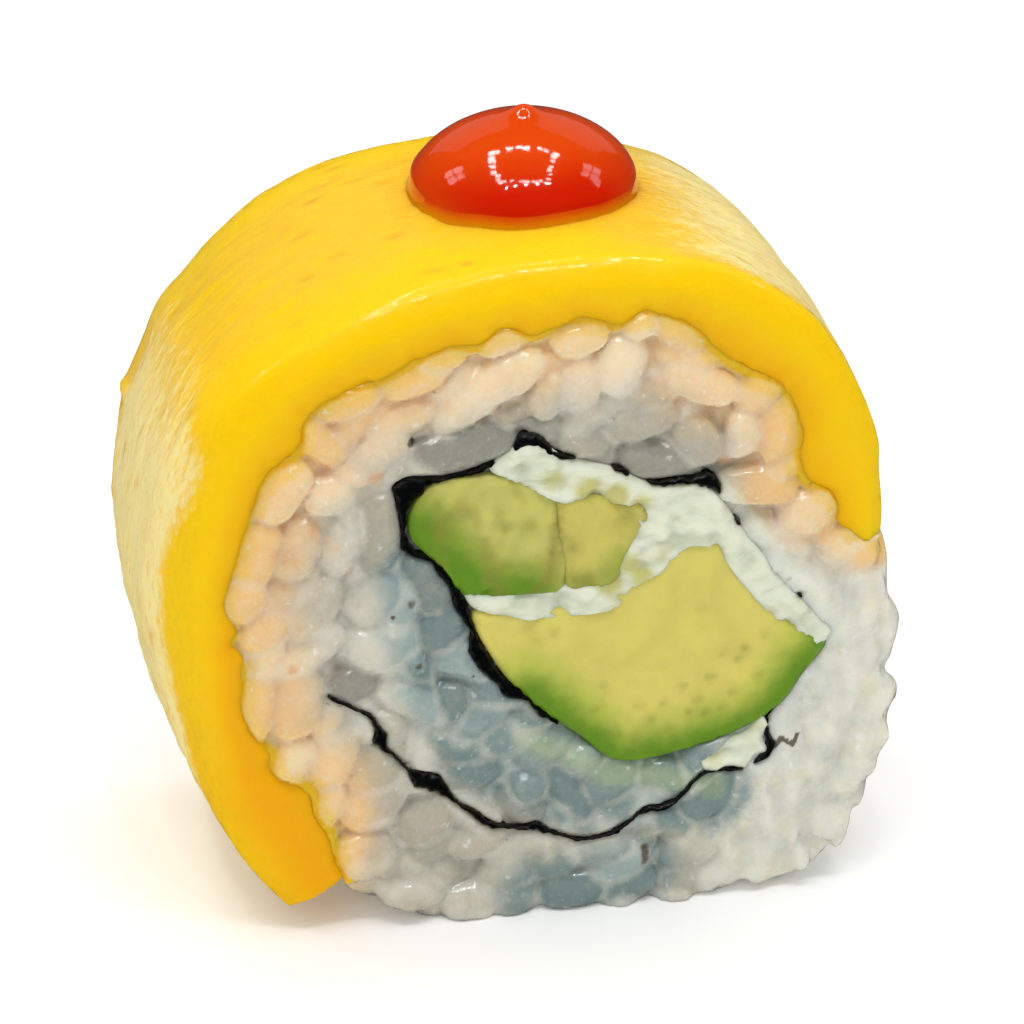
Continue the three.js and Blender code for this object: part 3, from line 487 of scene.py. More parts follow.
def new_piece(name, points, faces, paint, values=None, nodes=()):
    """A smooth-shaded object from points in millimetres, which rides on the body and replaces its nodes."""
    mesh = bpy.data.meshes.new(name)
    mesh.vertices.add(len(points))
    mesh.vertices.foreach_set("co", (np.asarray(points) * MM).astype(np.float32).ravel())
    sizes = np.array([len(f) for f in faces])
    mesh.loops.add(int(sizes.sum()))
    mesh.loops.foreach_set("vertex_index", np.concatenate([np.asarray(f) for f in faces]).astype(np.int32))
    mesh.polygons.add(len(sizes))
    mesh.polygons.foreach_set("loop_start", np.concatenate([[0], np.cumsum(sizes)[:-1]]).astype(np.int32))
    mesh.update(calc_edges=True)
    if mesh.validate(verbose=False):
        raise RuntimeError(f"{name} has bad faces")
    mesh.shade_smooth()
    for key, value in (values or {}).items():
        value = np.asarray(value, np.float32)
        kind, field = ("FLOAT", "value") if value.ndim == 1 else ("FLOAT_VECTOR", "vector")
        mesh.attributes.new(key, kind, "POINT").data.foreach_set(field, value.ravel())
    piece = bpy.data.objects.new(name, mesh)
    bpy.context.scene.collection.objects.link(piece)
    mesh.materials.append(paint)
    if nodes:
        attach(piece, "root")
        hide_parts(*nodes)
    return piece


def tube_faces(rings, size):
    """Quads between successive closed rings of points."""
    i, j = np.meshgrid(np.arange(rings - 1), np.arange(size), indexing="ij")
    j2 = (j + 1) % size
    return np.stack([i * size + j, i * size + j2, (i + 1) * size + j2, (i + 1) * size + j], -1).reshape(-1, 4)


def fan(ring, middle, flip):
    """Triangles from a ring of points to a middle one."""
    pairs = zip(ring, np.roll(ring, -1))
    return [(middle, b, a) if flip else (middle, a, b) for a, b in pairs]


# Materials


class Wire:
    """A shader socket that takes part in plain arithmetic."""

    def __init__(self, paint, socket):
        self.paint, self.socket = paint, socket

    def math(self, kind, first, second):
        """One Math node on two values."""
        return self.paint.node("ShaderNodeMath", {"operation": kind}, {0: first, 1: second})

    def __add__(self, other):
        return self.math("ADD", self, other)

    def __sub__(self, other):
        return self.math("SUBTRACT", self, other)

    def __rsub__(self, other):
        return self.math("SUBTRACT", other, self)

    def __mul__(self, other):
        return self.math("MULTIPLY", self, other)

    __radd__, __rmul__ = __add__, __mul__


class Paint:
    """A material with one Principled surface, built from wires."""

    def __init__(self, name):
        self.material = bpy.data.materials.new(name)
        self.material.use_nodes = True
        self.tree = self.material.node_tree
        self.surface = self.tree.nodes["Principled BSDF"]

    def node(self, kind, settings=None, sockets=None, output=0):
        """Any node: its type, its settings, then the values and links of its sockets."""
        made = self.tree.nodes.new(kind)
        for key, value in (settings or {}).items():
            setattr(made, key, value)
        for key, value in (sockets or {}).items():
            self.put(made.inputs[key], value)
        return Wire(self, made.outputs[output])

    def put(self, socket, value):
        """Sets or links one socket."""
        if isinstance(value, Wire):
            self.tree.links.new(value.socket, socket)
        elif hasattr(value, "__len__") and len(value) == 3 and socket.type == "RGBA":
            socket.default_value = (*value, 1)
        else:
            socket.default_value = value

    def value(self, name):
        """A value that the mesh carries at its points."""
        return self.node("ShaderNodeAttribute", {"attribute_name": name}, output="Fac")

    def place(self, name=None, scale=(1000, 1000, 1000), turn=(0, 0, 0)):
        """Coordinates in millimetres: the object's own, or a named set."""
        if name:
            at = self.node("ShaderNodeAttribute", {"attribute_name": name}, output="Vector")
        else:
            at = self.node("ShaderNodeTexCoord", output="Object")
        return self.node("ShaderNodeMapping", {}, {"Vector": at, "Rotation": turn, "Scale": scale})

    def noise(self, at, scale, detail=2.0, rough=0.5, warp=0.0):
        """A cloudy noise around 0.5."""
        sockets = {"Vector": at, "Scale": scale, "Detail": detail, "Roughness": rough, "Distortion": warp}
        return self.node("ShaderNodeTexNoise", {}, sockets)

    def step(self, value, low, high, to_low=0.0, to_high=1.0):
        """0 to 1 as the value goes from low to high, eased at both ends."""
        return self.node(
            "ShaderNodeMapRange", {"interpolation_type": "SMOOTHSTEP"},
            {"Value": value, "From Min": low, "From Max": high, "To Min": to_low, "To Max": to_high},
        )

    def uneven(self, value, noise, amount, low, high):
        """A step from low to high whose edge a noise makes uneven; a name stands for the mesh's value."""
        if isinstance(value, str):
            value = self.value(value)
        return self.step(value + (noise - 0.5) * amount, low, high)

    def mix(self, first, second, share):
        """A share of the second colour over the first."""
        return self.node("ShaderNodeMix", {"data_type": "RGBA"}, {0: share, 6: first, 7: second}, output=2)

    def layers(self, colour, *coats):
        """A colour with others laid over it, each with its share."""
        for coat, share in coats:
            colour = self.mix(colour, coat, share)
        return colour

    def relief(self, *rows):
        """Bumps one on another, each row its height, strength and distance."""
        under = {}
        for height, strength, distance in rows:
            sockets = {"Height": height, "Strength": strength, "Distance": distance, **under}
            under = {"Normal": self.node("ShaderNodeBump", {}, sockets)}
        return under["Normal"]

    def finish(self, soft=None, **sockets):
        """Fills the surface's sockets; `soft` is how much light goes in, its reach by colour and scale."""
        if soft:
            names = ("Subsurface_Weight", "Subsurface_Radius", "Subsurface_Scale", "IOR")
            sockets.update(zip(names, (*soft, 1.4)))
        for key, value in sockets.items():
            self.put(self.surface.inputs[key.replace("_", " ")], value)
        return self.material


def mango_paint(colours):
    """Ripe mango flesh: clear yellow at the ridge, golden towards the rice and on the lower left, where it is
    painted shade, creamy on the outside.
    """
    p = Paint("mango_flesh")

    def grain(along, across, *more):
        """A noise drawn out along the slab."""
        return p.noise(p.place("lay", scale=(along, across, 1)), 1.0, *more)

    streaks, fine = grain(0.3, 1.1, 4.0, 0.6, 0.3), grain(1.3, 3.0, 3.0, 0.6)
    blush = p.noise(p.place("lay", scale=(1, 1, 1)), 0.16, 3.0, 0.5)
    skin = p.value("skin")
    outside = p.mix(colours.mango_outside, colours.mango_bright, p.uneven(streaks, blush, 0.5, 0.5, 0.72))
    cream = p.step(p.value("cream") + (streaks - 0.5) * 0.8 + (fine - 0.5) * 1.1, 0.3, 1.1)
    dash = p.step(grain(0.75, 3.6, 3.0, 0.65, 0.4), 0.55, 0.7)
    glint = p.step(grain(1.1, 2.6, 3.0, 0.6), 0.48, 0.62, 0.15, 0.9)
    colour = p.layers(
        colours.mango_bright,
        # Deeper yellow towards the rice, and painted shade on the lower left
        (colours.mango_deep, p.uneven("golden", blush, 0.5, 0.05, 1.0)),
        (outside, skin),
        (colours.mango_cream, cream * 0.85),
        (colours.mango_dash, dash * p.step(p.value("cream"), 0.2, 0.9) * 0.5),
        (colours.mango_pit, p.value("pit") * 0.6),
        (colours.mango_halo, p.value("halo")),
    )
    return p.finish(
        Base_Color=colour, Roughness=p.step(fine, 0.3, 0.75, 0.3, 0.46),
        Normal=p.relief(
            (streaks * skin, 0.2, 0.0004), (fine * skin, 0.34, 0.00018),
            (p.noise(p.place(), 2.2, 3.0), 0.2, 0.0003),
        ),
        Coat_Weight=p.value("ridge") * glint + skin * 0.22 * (1 - cream), Coat_Roughness=0.08, Coat_IOR=1.45,
        Sheen_Weight=0.28, Sheen_Roughness=0.3, Sheen_Tint=(1.0, 0.84, 0.4),
        Specular_IOR_Level=0.22, soft=(0.55, (1.0, 0.55, 0.08), 0.0016),
    )


def rice_paint(colours):
    """Sticky cooked rice: milky, with a painted yellow glow beside the mango, greyer beside the nori, moist
    on top.
    """
    p = Paint("cooked_rice")
    at = p.place()
    cloud, mottle = p.noise(at, 0.35, 3.0, 0.55), p.noise(at, 1.5, 3.0, 0.6)
    tone, mango_glow, melt = p.value("tone"), p.value("mango_glow"), p.value("melt")
    pale = p.step(tone + (mottle - 0.5) * 0.9 + (cloud - 0.5) * 0.5, -0.2, 0.9)
    spread = p.mix(colours.rice_smeared, colours.rice_butter, p.step(cloud, 0.48, 0.72) * 0.7)
    # Painted glow from the mango, paler on the pale grains
    tinted = p.mix(colours.rice_mango_glow, colours.rice_mango_glow_pale, pale)
    # Greyer rice inside the nori, and painted shade along the bottom of the face
    grey_and_shade = p.mix(colours.rice_grey_and_shade, colours.rice_grey_and_shade_pale, pale)
    vein = p.uneven("edge", mottle, 0.4, 0.42, 0.0) * p.step(mango_glow, 0.9, 0.0, 0.3, 0.4)
    # Painted highlight: small white glints on the grains
    painted_sparkle = p.step(p.noise(at, 1.9, 1.5), 0.64, 0.74) * p.step(mottle, 0.4, 0.6)
    # Painted shade in the hollows between grains, yellower beside the mango
    crease_shade = p.mix(colours.rice_crease_shade_grey, colours.rice_crease_shade, p.step(mango_glow, 0.1, 0.6))
    colour = p.layers(
        colours.rice_milky,
        (colours.rice_pale, pale),
        (spread, p.uneven("smear", mottle, 0.3, 0.1, 0.8) * 0.85),
        (tinted, p.uneven(mango_glow, cloud, 0.5, 0.05, 0.95)),
        (colours.rice_touch_glow, p.uneven("touch_glow", cloud, 0.9, 0.35, 1.1) * 0.85),
        (grey_and_shade, p.uneven("grey_and_shade", mottle, 0.7, 0.1, 0.8)),
        (colours.rice_leafy, p.uneven("leafy", mottle, 0.9, 0.2, 1.1) * 0.6),
        (colours.rice_clear, p.uneven(tone, mottle, 0.9, -0.15, -0.95)),
        (colours.rice_vein, vein),
        ((1, 1, 1), painted_sparkle * 0.35),
        (crease_shade, p.uneven("crease_shade", mottle, 0.4, 0.55, 1.6) * 0.25),
        # Orange painted shade in the gaps between grains
        (colours.rice_gap_shade, p.uneven("gap_shade", mottle, 1.3, 0.3, 1.0) * 0.6),
        (colours.rice_dark, p.uneven("dark", mottle, 0.15, 0.35, 0.7) * 0.85),
        (colours.rice_melted, p.uneven(melt, mottle, 0.4, 0.1, 0.9)),
        (colours.rice_creamy, p.uneven("creamy", mottle, 0.8, 0.2, 0.9) * 0.7),
    )
    return p.finish(
        Base_Color=colour, Roughness=p.step(p.noise(at, 1.7, 2.0), 0.35, 0.65, 0.16, 0.36),
        Normal=p.relief((mottle, 0.2, 0.0003)),
        Coat_Weight=p.step(mottle, 0.36, 0.56, 0.3, 1.0) * (1 - melt * 0.9), Coat_Roughness=0.13,
        Specular_IOR_Level=0.5, Sheen_Weight=0.12, Sheen_Roughness=0.35, soft=(0.8, (1.0, 0.8, 0.55), 0.0016),
    )


def nori_paint(colours):
    """Moist nori: near black with green and blue glints."""
    p = Paint("moist_nori")
    at = p.place()
    crackle = p.node("ShaderNodeTexVoronoi", {}, {"Vector": at, "Scale": 1.6}, output="Distance")
    grain = p.noise(at, 3.0, 4.0, 0.6)
    return p.finish(
        Base_Color=p.mix(colours.nori_black, colours.nori_glint, p.step(grain, 0.58, 0.8)),
        Roughness=p.step(grain, 0.3, 0.7, 0.24, 0.5),
        Normal=p.relief((crackle, 0.4, 0.0002), (grain, 0.4, 0.0002)),
        Coat_Weight=p.step(crackle, 0.2, 0.8, 0.0, 0.2), Coat_Roughness=0.2, Specular_IOR_Level=0.35,
    )


def avocado_paint(name, heart, flesh, patchy, colours):
    """Avocado flesh, buttery at the heart and green towards the skin side."""
    p = Paint(name)
    at = p.place()
    cloud, mottle = p.noise(at, 0.22, 3.0, 0.5), p.noise(at, 1.1, 4.0, 0.6)
    green = p.value("green") + (cloud - 0.5) * 0.35 + (mottle - 0.5) * 0.22
    shade = p.step(p.noise(p.place(scale=(700, 1000, 420), turn=(0, 0.5, 0)), 0.75, 1.5, 0.5), 0.46, 0.72)
    colour = p.layers(
        heart,
        (flesh, p.step(green, 0.0, 0.55)),
        (colours.avocado_rim, p.step(green, 0.42, 1.0)),
        # Painted shade along the seam where two pieces meet
        (colours.avocado_seam_shade, p.uneven("seam_shade", mottle, 0.5, 0.2, 1.0) * 0.8),
        (colours.avocado_speck, p.value("speck") * 0.7),
        (colours.avocado_shade, shade * patchy * 0.75),
    )
    return p.finish(
        Base_Color=colour, Roughness=p.step(mottle, 0.3, 0.7, 0.32, 0.5),
        Normal=p.relief((mottle, 0.25, 0.0004), (p.noise(at, 4.0, 3.0), 0.12, 0.0001)),
        Coat_Weight=p.step(mottle, 0.4, 0.7, 0.05, 0.3), Coat_Roughness=0.2, Specular_IOR_Level=0.3,
        soft=(0.5, (1.0, 0.8, 0.25), 0.0012),
    )


def cheese_paint(colours):
    """Cream cheese smeared by the knife, with a little avocado in it."""
    p = Paint("cream_cheese")
    smear = p.noise(p.place(scale=(600, 1000, 1400), turn=(0, 0.6, 0)), 0.5, 4.0, 0.55, 0.6)
    fine = p.noise(p.place(), 2.4, 3.0)
    colour = p.layers(
        colours.cheese,
        (colours.cheese_shade, p.step(smear, 0.42, 0.75)),
        (colours.cheese_olive, p.uneven("olive", smear, 0.8, 0.2, 0.9) * 0.85),
    )
    return p.finish(
        Base_Color=colour, Roughness=p.step(fine, 0.3, 0.7, 0.3, 0.45),
        Normal=p.relief((smear, 0.2, 0.0005), (fine, 0.08, 0.0002)),
        Coat_Weight=p.step(smear, 0.3, 0.7, 0.1, 0.35), Coat_Roughness=0.2, Specular_IOR_Level=0.35,
        soft=(0.6, (1.0, 0.85, 0.6), 0.001),
    )


def sauce_paint(colours):
    """Glossy red sauce, deep in the body, lighter above with a painted sheen, and orange where it thins out
    at the foot.
    """
    p = Paint("red_sauce")
    at = p.place()
    cloud = p.noise(at, 0.3, 2.0)
    colour = p.layers(
        colours.sauce_deep,
        # Lighter on the upper part as a painted sheen of the light above, and on the left and right sides
        (colours.sauce_body_and_sheen, p.uneven("body", cloud, 0.3, 0.1, 0.9)),
        (colours.sauce_thin, p.uneven("thin", cloud, 0.25, 0.33, 1.08)),
    )
    return p.finish(
        Base_Color=colour, Roughness=p.step(cloud, 0.3, 0.7, 0.05, 0.09),
        Normal=p.relief((p.noise(at, 1.2, 2.0), 0.06, 0.0003)),
        Coat_Weight=0.45, Coat_Roughness=0.03, Specular_IOR_Level=0.45, soft=(0.45, (1.0, 0.22, 0.05), 0.002),
        Sheen_Weight=0.3, Sheen_Roughness=0.25, Sheen_Tint=(1.0, 0.5, 0.42),
    )


def floor_paint(colours):
    """The plain pale floor."""
    p = Paint("pale_floor")
    soft = p.noise(p.place(scale=(1, 1, 1)), 40.0, 2.0)
    return p.finish(
        Base_Color=p.mix(colours.floor, tuple(c * 0.985 for c in colours.floor), soft), Roughness=0.9,
        Specular_IOR_Level=0.1, Emission_Color=(1, 1, 1), Emission_Strength=0.12,
    )


# The mango

# The mango's swells, each a height, a size and a seed
MANGO_SWELLS = ((0.08, 11, 3), (0.05, 4.5, 4))


def mango_shell(steps):
    """The slab as rings of points round its section, one ring for each step from end to end."""
    face = np.array(MANGO_FACE)
    outer_edge, inner_edge = HALF_DEPTH - 1.36, HALF_DEPTH - 2.6
    outside, inside = np.linspace(-outer_edge, outer_edge, 46), np.linspace(inner_edge, -inner_edge, 5)
    out = np.concatenate([face[:, 0], np.ones_like(outside), face[::-1, 0], np.zeros_like(inside)])
    y = np.concatenate([face[:, 1] - HALF_DEPTH, outside, HALF_DEPTH - face[::-1, 1], inside])
    share, y, out = np.broadcast_arrays(np.linspace(0, 1, steps)[:, None], y, out)
    inside_angle = MANGO_START + share * (MANGO_END_INSIDE - MANGO_START)
    outside_angle = MANGO_START + share * (MANGO_END_OUTSIDE - MANGO_START)
    outer = mango_ridge(outside_angle, y)
    inner = mango_inside(inside_angle) - MANGO_TUCK * (np.abs(y) > HALF_DEPTH - 2.5)
    a0, a1 = np.radians(inside_angle), np.radians(outside_angle)
    x = (1 - out) * inner * np.cos(a0) + out * outer * np.cos(a1)
    z = AXIS_HEIGHT + (1 - out) * inner * np.sin(a0) + out * outer * np.sin(a1)
    return x, y, z, out, outside_angle


def mango_pits(lay, on_outside):
    """How deep and how dark the small pits of the outside are at each point."""
    deep, dark = np.zeros(len(lay)), np.zeros(len(lay))
    draw = np.random.default_rng(8)
    for _ in range(150):
        at = np.array([np.radians(draw.uniform(12, 226)) * ROLL_RADIUS, draw.uniform(-9.5, 10.5)])
        size_along, size_across = draw.uniform(0.35, 0.9), draw.uniform(0.16, 0.3)
        gap = (lay[:, :2] - at) / (size_along, size_across)
        dent = np.exp(-np.einsum("ij,ij->i", gap, gap)) * on_outside
        deep += dent * draw.uniform(0.05, 0.14)
        dark = np.maximum(dark, dent * draw.uniform(0.2, 1.0))
    return deep, dark


# The mango's rounded ends, step by step: how much of its height and its depth is left, and how far out
MANGO_END_STEPS = ((0.93, 0.985, 0.16), (0.78, 0.78**0.25, 0.24), (0.45, 0.45**0.25, 0.28))


def mango_ends(rows):
    """Rounded caps for both ends of the slab: more points, and faces that count on from those of the rows."""
    rings, size = rows.shape[:2]
    count, steps = rings * size, len(MANGO_END_STEPS)
    middles, layers, faces = [], [], []
    for k, (end, step) in enumerate(((0, 1), (-1, -1))):
        edge = rows[end]
        middle = edge.mean(0)
        past = edge - rows[end + step]
        past = past.mean(0) / np.linalg.norm(past.mean(0))
        ring = np.arange(size) + (end % rings) * size
        for layer, (pull, keep, push) in enumerate(MANGO_END_STEPS):
            layers.append(middle + (edge - middle) * (pull, keep, pull) + past * push)
            following = np.arange(size) + count + (steps * k + layer) * size
            quad = [ring, following, np.roll(following, -1), np.roll(ring, -1)]
            faces += list(np.column_stack(quad[:1] + quad[:0:-1] if k else quad))
            ring = following
        middles.append(middle + past * MANGO_END_STEPS[-1][2])
        faces += fan(ring, count + 2 * steps * size + k, k == 0)
    return np.vstack(layers + [np.array(middles)]), faces


def lay_mango(sizes, colours):
    """The slab of mango, with its knife-cut face, rounded ridge and streaky outside."""
    x, y, z, out, angle = mango_shell(sizes.mango_steps)
    rings, size = x.shape
    points = np.column_stack([x.ravel(), y.ravel(), z.ravel()])
    out, angle = out.ravel(), angle.ravel()
    depth = HALF_DEPTH - np.abs(points[:, 1])
    turn = np.radians(angle)
    lay = np.column_stack([turn * ROLL_RADIUS, points[:, 1], out * 4])
    away = np.column_stack([np.cos(turn), np.zeros(len(turn)), np.sin(turn)])
    # The streaky outside starts behind the ridge, nearer to it on the left and on the flank below
    left = smooth_step((angle - 140) / 16)
    upper = smooth_step((angle - 66) / 20) * (1 - left)
    low = smooth_step((angle - 150) / 22)
    skin = smooth_step((out - 0.93) / 0.07)
    skin = skin * smooth_step((depth - 0.6 - upper + 0.9 * left - 2.0 * low) / (2.4 + 4 * upper - 0.6 * low))
    on_outside = smooth_step((out - 0.9) / 0.1)
    flank = smooth_step((angle - 118) / 30)
    streak = (0.025 + 0.02 * flank) * ripples(lay * (0.24, 1.0, 1.0), 1.3, 5, 0.6) * skin
    fibre = (0.012 + 0.02 * flank) * ripples(lay * (0.45, 1.0, 1.0), 0.8, 6, 0.6) * skin
    pits, pit = mango_pits(lay, on_outside)
    flap_at = np.radians(161.5) * ROLL_RADIUS
    flap = np.exp(-(((lay[:, 0] - flap_at) / 0.5) ** 2) - ((lay[:, 1] - 9.0) / 1.5) ** 2)
    height = swells(lay, *MANGO_SWELLS) + streak + fibre - pits + 0.34 * flap
    points += away * (height * on_outside)[:, None]
    front = smooth_step((0.8 - out) / 0.3) * (1 - on_outside)
    wave = swells(points, (0.1, 3.4, 9), (0.05, 1.5, 10))
    points[:, 1] += np.sign(points[:, 1]) * -np.abs(wave) * front * (depth < 1.5)
    points = settle(points)
    ends, end_faces = mango_ends(points.reshape(rings, size, 3))
    # Deeper yellow towards the rice, and more on the lower left, where it is painted shade
    golden = np.clip(1.05 - out * 1.25 + 0.6 * smooth_step((angle - 165) / 50), 0, 1.3)
    ridge = smooth_step((out - 0.82) / 0.14) * (1 - smooth_step((depth - 1.2) / 2.4))
    foot = np.hypot(points[:, 0] - DROP_AT[0], points[:, 1] - DROP_AT[1]) - DROP_RADIUS
    halo = 0.6 * np.exp(-np.clip(foot, 0, None) / 0.7) * on_outside * (points[:, 2] > AXIS_HEIGHT)
    left = smooth_step((angle - 129) / 34) * (1 - 0.6 * smooth_step((angle - 224) / 10))
    right = smooth_step((80 - angle) / 28) * smooth_step((angle - 10) / 14) * 0.95
    behind = smooth_step((points[:, 1] - 5.5) / 4.0) * smooth_step((angle - 120) / 20)
    cream = np.maximum(left, right) * skin * (1 - 0.75 * behind)
    values = {"skin": skin, "golden": golden, "cream": cream, "pit": pit, "ridge": ridge, "halo": halo}
    for key, value in values.items():
        values[key] = np.append(value, np.full(len(ends), 0.5 if key == "golden" else 0.0))
    values["lay"] = np.vstack([lay, np.zeros((len(ends), 3))])
    points, faces = np.vstack([points, ends]), list(tube_faces(rings, size)) + end_faces
    new_piece("mango_slab", points, faces, mango_paint(colours), values, ["mango"])


# The rice


class Heap:
    """Rice as one solid on a regular grid: the distance to its surface at each grid point."""

    def __init__(self, step):
        self.step = step
        self.axes = [np.arange(low, high, step) for low, high in zip(HEAP_LOW, HEAP_HIGH)]
        self.flat = np.array(np.meshgrid(self.axes[0], self.axes[2], indexing="ij")).reshape(2, -1).T
        self.shape = tuple(len(a) for a in self.axes)
        self.field = np.full(self.shape, 9.0, np.float32)
        self.tone = np.zeros(self.shape, np.float32)
        self.closest, self.first, self.second = (np.full(self.shape, 9.0, np.float32) for _ in range(3))

    def sheet(self, values):
        """Values at the points of `flat`, for every depth."""
        return values.reshape(self.shape[0], 1, self.shape[2]).astype(np.float32)

    def deep(self, values):
        """Values at each depth, for every point of `flat`."""
        return values.reshape(1, -1, 1).astype(np.float32)

    def grain(self, at, along, out, half, bend, tone, blend, layer):
        """Melts one grain into the heap. `half` is half its length, width and thickness."""
        a, b, c = half
        reach = np.abs(along) * a + 1.9
        window = tuple(
            slice(max(np.searchsorted(axis, at[k] - reach[k]), 0), np.searchsorted(axis, at[k] + reach[k]))
            for k, axis in enumerate(self.axes)
        )
        x, y, z = np.meshgrid(*(axis[w] - at[k] for k, (axis, w) in enumerate(zip(self.axes, window))),
                              indexing="ij", sparse=True)
        side = np.cross(along, out)
        u = x * along[0] + y * along[1] + z * along[2]
        v = x * side[0] + y * side[1] + z * side[2] - bend * (u * u / (a * a) - 0.3)
        w = x * out[0] + y * out[1] + z * out[2]
        # Blunter at its tips than an ellipsoid: the level is 1 at the surface, and over its slope a distance
        share = np.abs(u / a)
        level = np.sqrt(share**2.7 + (v / b) ** 2 + (w / c) ** 2) + 1e-6
        slope = np.sqrt((1.35 * share**1.7 / a) ** 2 + (v / b**2) ** 2 + (w / c**2) ** 2) / level + 1e-3
        far = ((level - 1) / slope).astype(np.float32)
        was = self.field[window]
        near = np.clip(blend - np.abs(was - far), 0, None) / blend
        self.field[window] = np.minimum(was, far) - near * near * blend / 4
        self.tone[window] = np.where(far < self.closest[window], tone, self.tone[window])
        self.closest[window] = np.minimum(self.closest[window], far)
        if layer:
            first = self.first[window]
            self.second[window] = np.minimum(self.second[window], np.maximum(first, far))
            self.first[window] = np.minimum(first, far)

    def roughen(self):
        """Small lumps all over, coarser and softer where the rice is smeared."""
        near = np.argwhere(np.abs(self.field) < 0.7)
        places = np.column_stack([self.axes[k][near[:, k]] for k in range(3)])
        _, _, _, smear = rice_zones(places[:, 0], places[:, 2])
        lumps = 0.05 * ripples(places, 2.2, 71, 0.5, 16) + 0.03 * ripples(places, 0.95, 72, 0.5, 16)
        strokes = 0.17 * ripples(places * (1.0, 1.0, 0.55), 2.0, 73, 0.5, 18)
        self.field[tuple(near.T)] += (lumps + strokes * (smear * at_face(places[:, 1]))).astype(np.float32)

    def cut(self, other):
        """Takes away what lies inside another solid, given by its distances."""
        np.maximum(self.field, -other, out=self.field)

    def sample(self, grid, points):
        """A grid's value at points in millimetres, between its nearest grid points."""
        place = [(points[:, k] - self.axes[k][0]) / self.step for k in range(3)]
        low = [np.clip(np.floor(p).astype(int), 0, n - 2) for p, n in zip(place, self.shape)]
        part = [np.clip(p - i, 0, 1) for p, i in zip(place, low)]
        total = 0
        for corner in range(8):
            pick = [(corner >> k) & 1 for k in range(3)]
            share = np.prod([part[k] if pick[k] else 1 - part[k] for k in range(3)], axis=0)
            total = total + share * grid[tuple(low[k] + pick[k] for k in range(3))]
        return total

    def slope(self, points):
        """Which way and how fast the distance grows at points in millimetres."""
        return np.column_stack([self.sample(grid, points) for grid in self.slopes])

    def skin(self):
        """Points and quads of the surface, one point in each cell that it crosses; cuts come before it."""
        inside = self.field < 0
        count = np.zeros(tuple(n - 1 for n in self.shape), np.int8)
        corners = [(i, j, k) for i in (0, 1) for j in (0, 1) for k in (0, 1)]
        for corner in corners:
            count += inside[tuple(slice(o, n - 1 + o) for o, n in zip(corner, self.shape))]
        cells = np.argwhere((count > 0) & (count < 8))
        index = np.full(count.shape, -1, np.int64)
        index[tuple(cells.T)] = np.arange(len(cells))
        total, hits = np.zeros((len(cells), 3)), np.zeros(len(cells))
        for a in corners:
            for axis in (k for k in range(3) if not a[k]):
                b = list(a)
                b[axis] = 1
                fa = self.field[tuple((cells + a).T)]
                fb = self.field[tuple((cells + b).T)]
                crossed = (fa < 0) != (fb < 0)
                share = np.where(crossed, fa / np.where(crossed, fa - fb, 1), 0)
                spot = np.array(a, float) + share[:, None] * (np.array(b) - np.array(a))
                total += np.where(crossed[:, None], spot, 0)
                hits += crossed
        points = (cells + total / hits[:, None]) * self.step + [axis[0] for axis in self.axes]
        quads = []
        for axis in range(3):
            ahead = np.roll(inside, -1, axis)
            crossed = inside != ahead
            crossed[tuple(slice(-1, None) if k == axis else slice(None) for k in range(3))] = False
            edges = np.argwhere(crossed)
            other = [k for k in range(3) if k != axis]
            edges = edges[np.all(edges[:, other] > 0, axis=1)]
            ring = []
            for steps in ((0, 0), (1, 0), (1, 1), (0, 1)):
                cell = edges.copy()
                cell[:, other[0]] -= steps[0]
                cell[:, other[1]] -= steps[1]
                ring.append(index[tuple(cell.T)])
            ring = np.column_stack(ring)
            flip = inside[tuple(edges.T)] ^ (axis == 1)
            ring[~flip] = ring[~flip][:, ::-1]
            quads.append(ring[:, ::-1])
        self.slopes = [np.gradient(self.field, self.step, axis=k) for k in range(3)]
        return points, np.vstack(quads)


def unit(vector):
    """A vector of length 1 with the same direction."""
    return np.asarray(vector, float) / np.linalg.norm(vector)


def smooth_mesh(points, faces, rounds, share):
    """Each point eased towards the middle of its neighbours."""
    pairs = np.vstack([faces[:, [k, (k + 1) % 4]] for k in range(4)])
    count = np.bincount(pairs[:, 0], minlength=len(points)) + np.bincount(pairs[:, 1], minlength=len(points))
    for _ in range(rounds):
        middle = np.zeros_like(points)
        for axis in range(points.shape[1]):
            middle[:, axis] = np.bincount(pairs[:, 0], points[pairs[:, 1], axis], len(points))
            middle[:, axis] += np.bincount(pairs[:, 1], points[pairs[:, 0], axis], len(points))
        points = points + share * (middle / np.maximum(count, 1)[:, None] - points)
    return points


def marks(points, spots, size=None):
    """1 at the middle of each small mark on the cut face, fading out with its size."""
    value = np.zeros(len(points))
    for x, z, *own, amount in spots:
        gap = (((points[:, [0, 2]] - (x, z)) / (own or size)) ** 2).sum(1)
        value = np.maximum(value, amount * np.exp(-gap))
    return value


def rice_zones(x, z):
    """How much painted glow from the mango the rice has on the cut face, near it and where it touches, how
    grey it is, and how smeared.
    """
    angle, around, radius = polar(x, z)
    under = rice_radius(angle) - radius
    beside = np.clip((1 - smooth_step((around - 232) / 14)) + smooth_step((around - 355) / 11), 0, 1)
    # Painted light: a yellow glow from the mango over the rice beside it, and a stronger one where the rice
    # touches it
    mango_glow = (1 - smooth_step(under / 8.0)) * beside
    touch_glow = (1 - smooth_step((under - 0.2) / 1.8)) * beside
    places = np.column_stack([x, z])
    cold, low = (line_distance(places, np.array(line))[0] for line in (COOL_INSIDE, SHADE_BELOW))
    # Greyer inside the nori, and painted shade along the bottom of the face
    grey_and_shade = np.maximum(1 - smooth_step((cold - 1.0) / 4.2), 0.8 * (1 - smooth_step((low - 0.5) / 4.0)))
    smear = smooth_step((x - 8.5) / 6.0) * smooth_step((25.5 - z) / 5.0)
    return mango_glow, touch_glow, grey_and_shade, smear


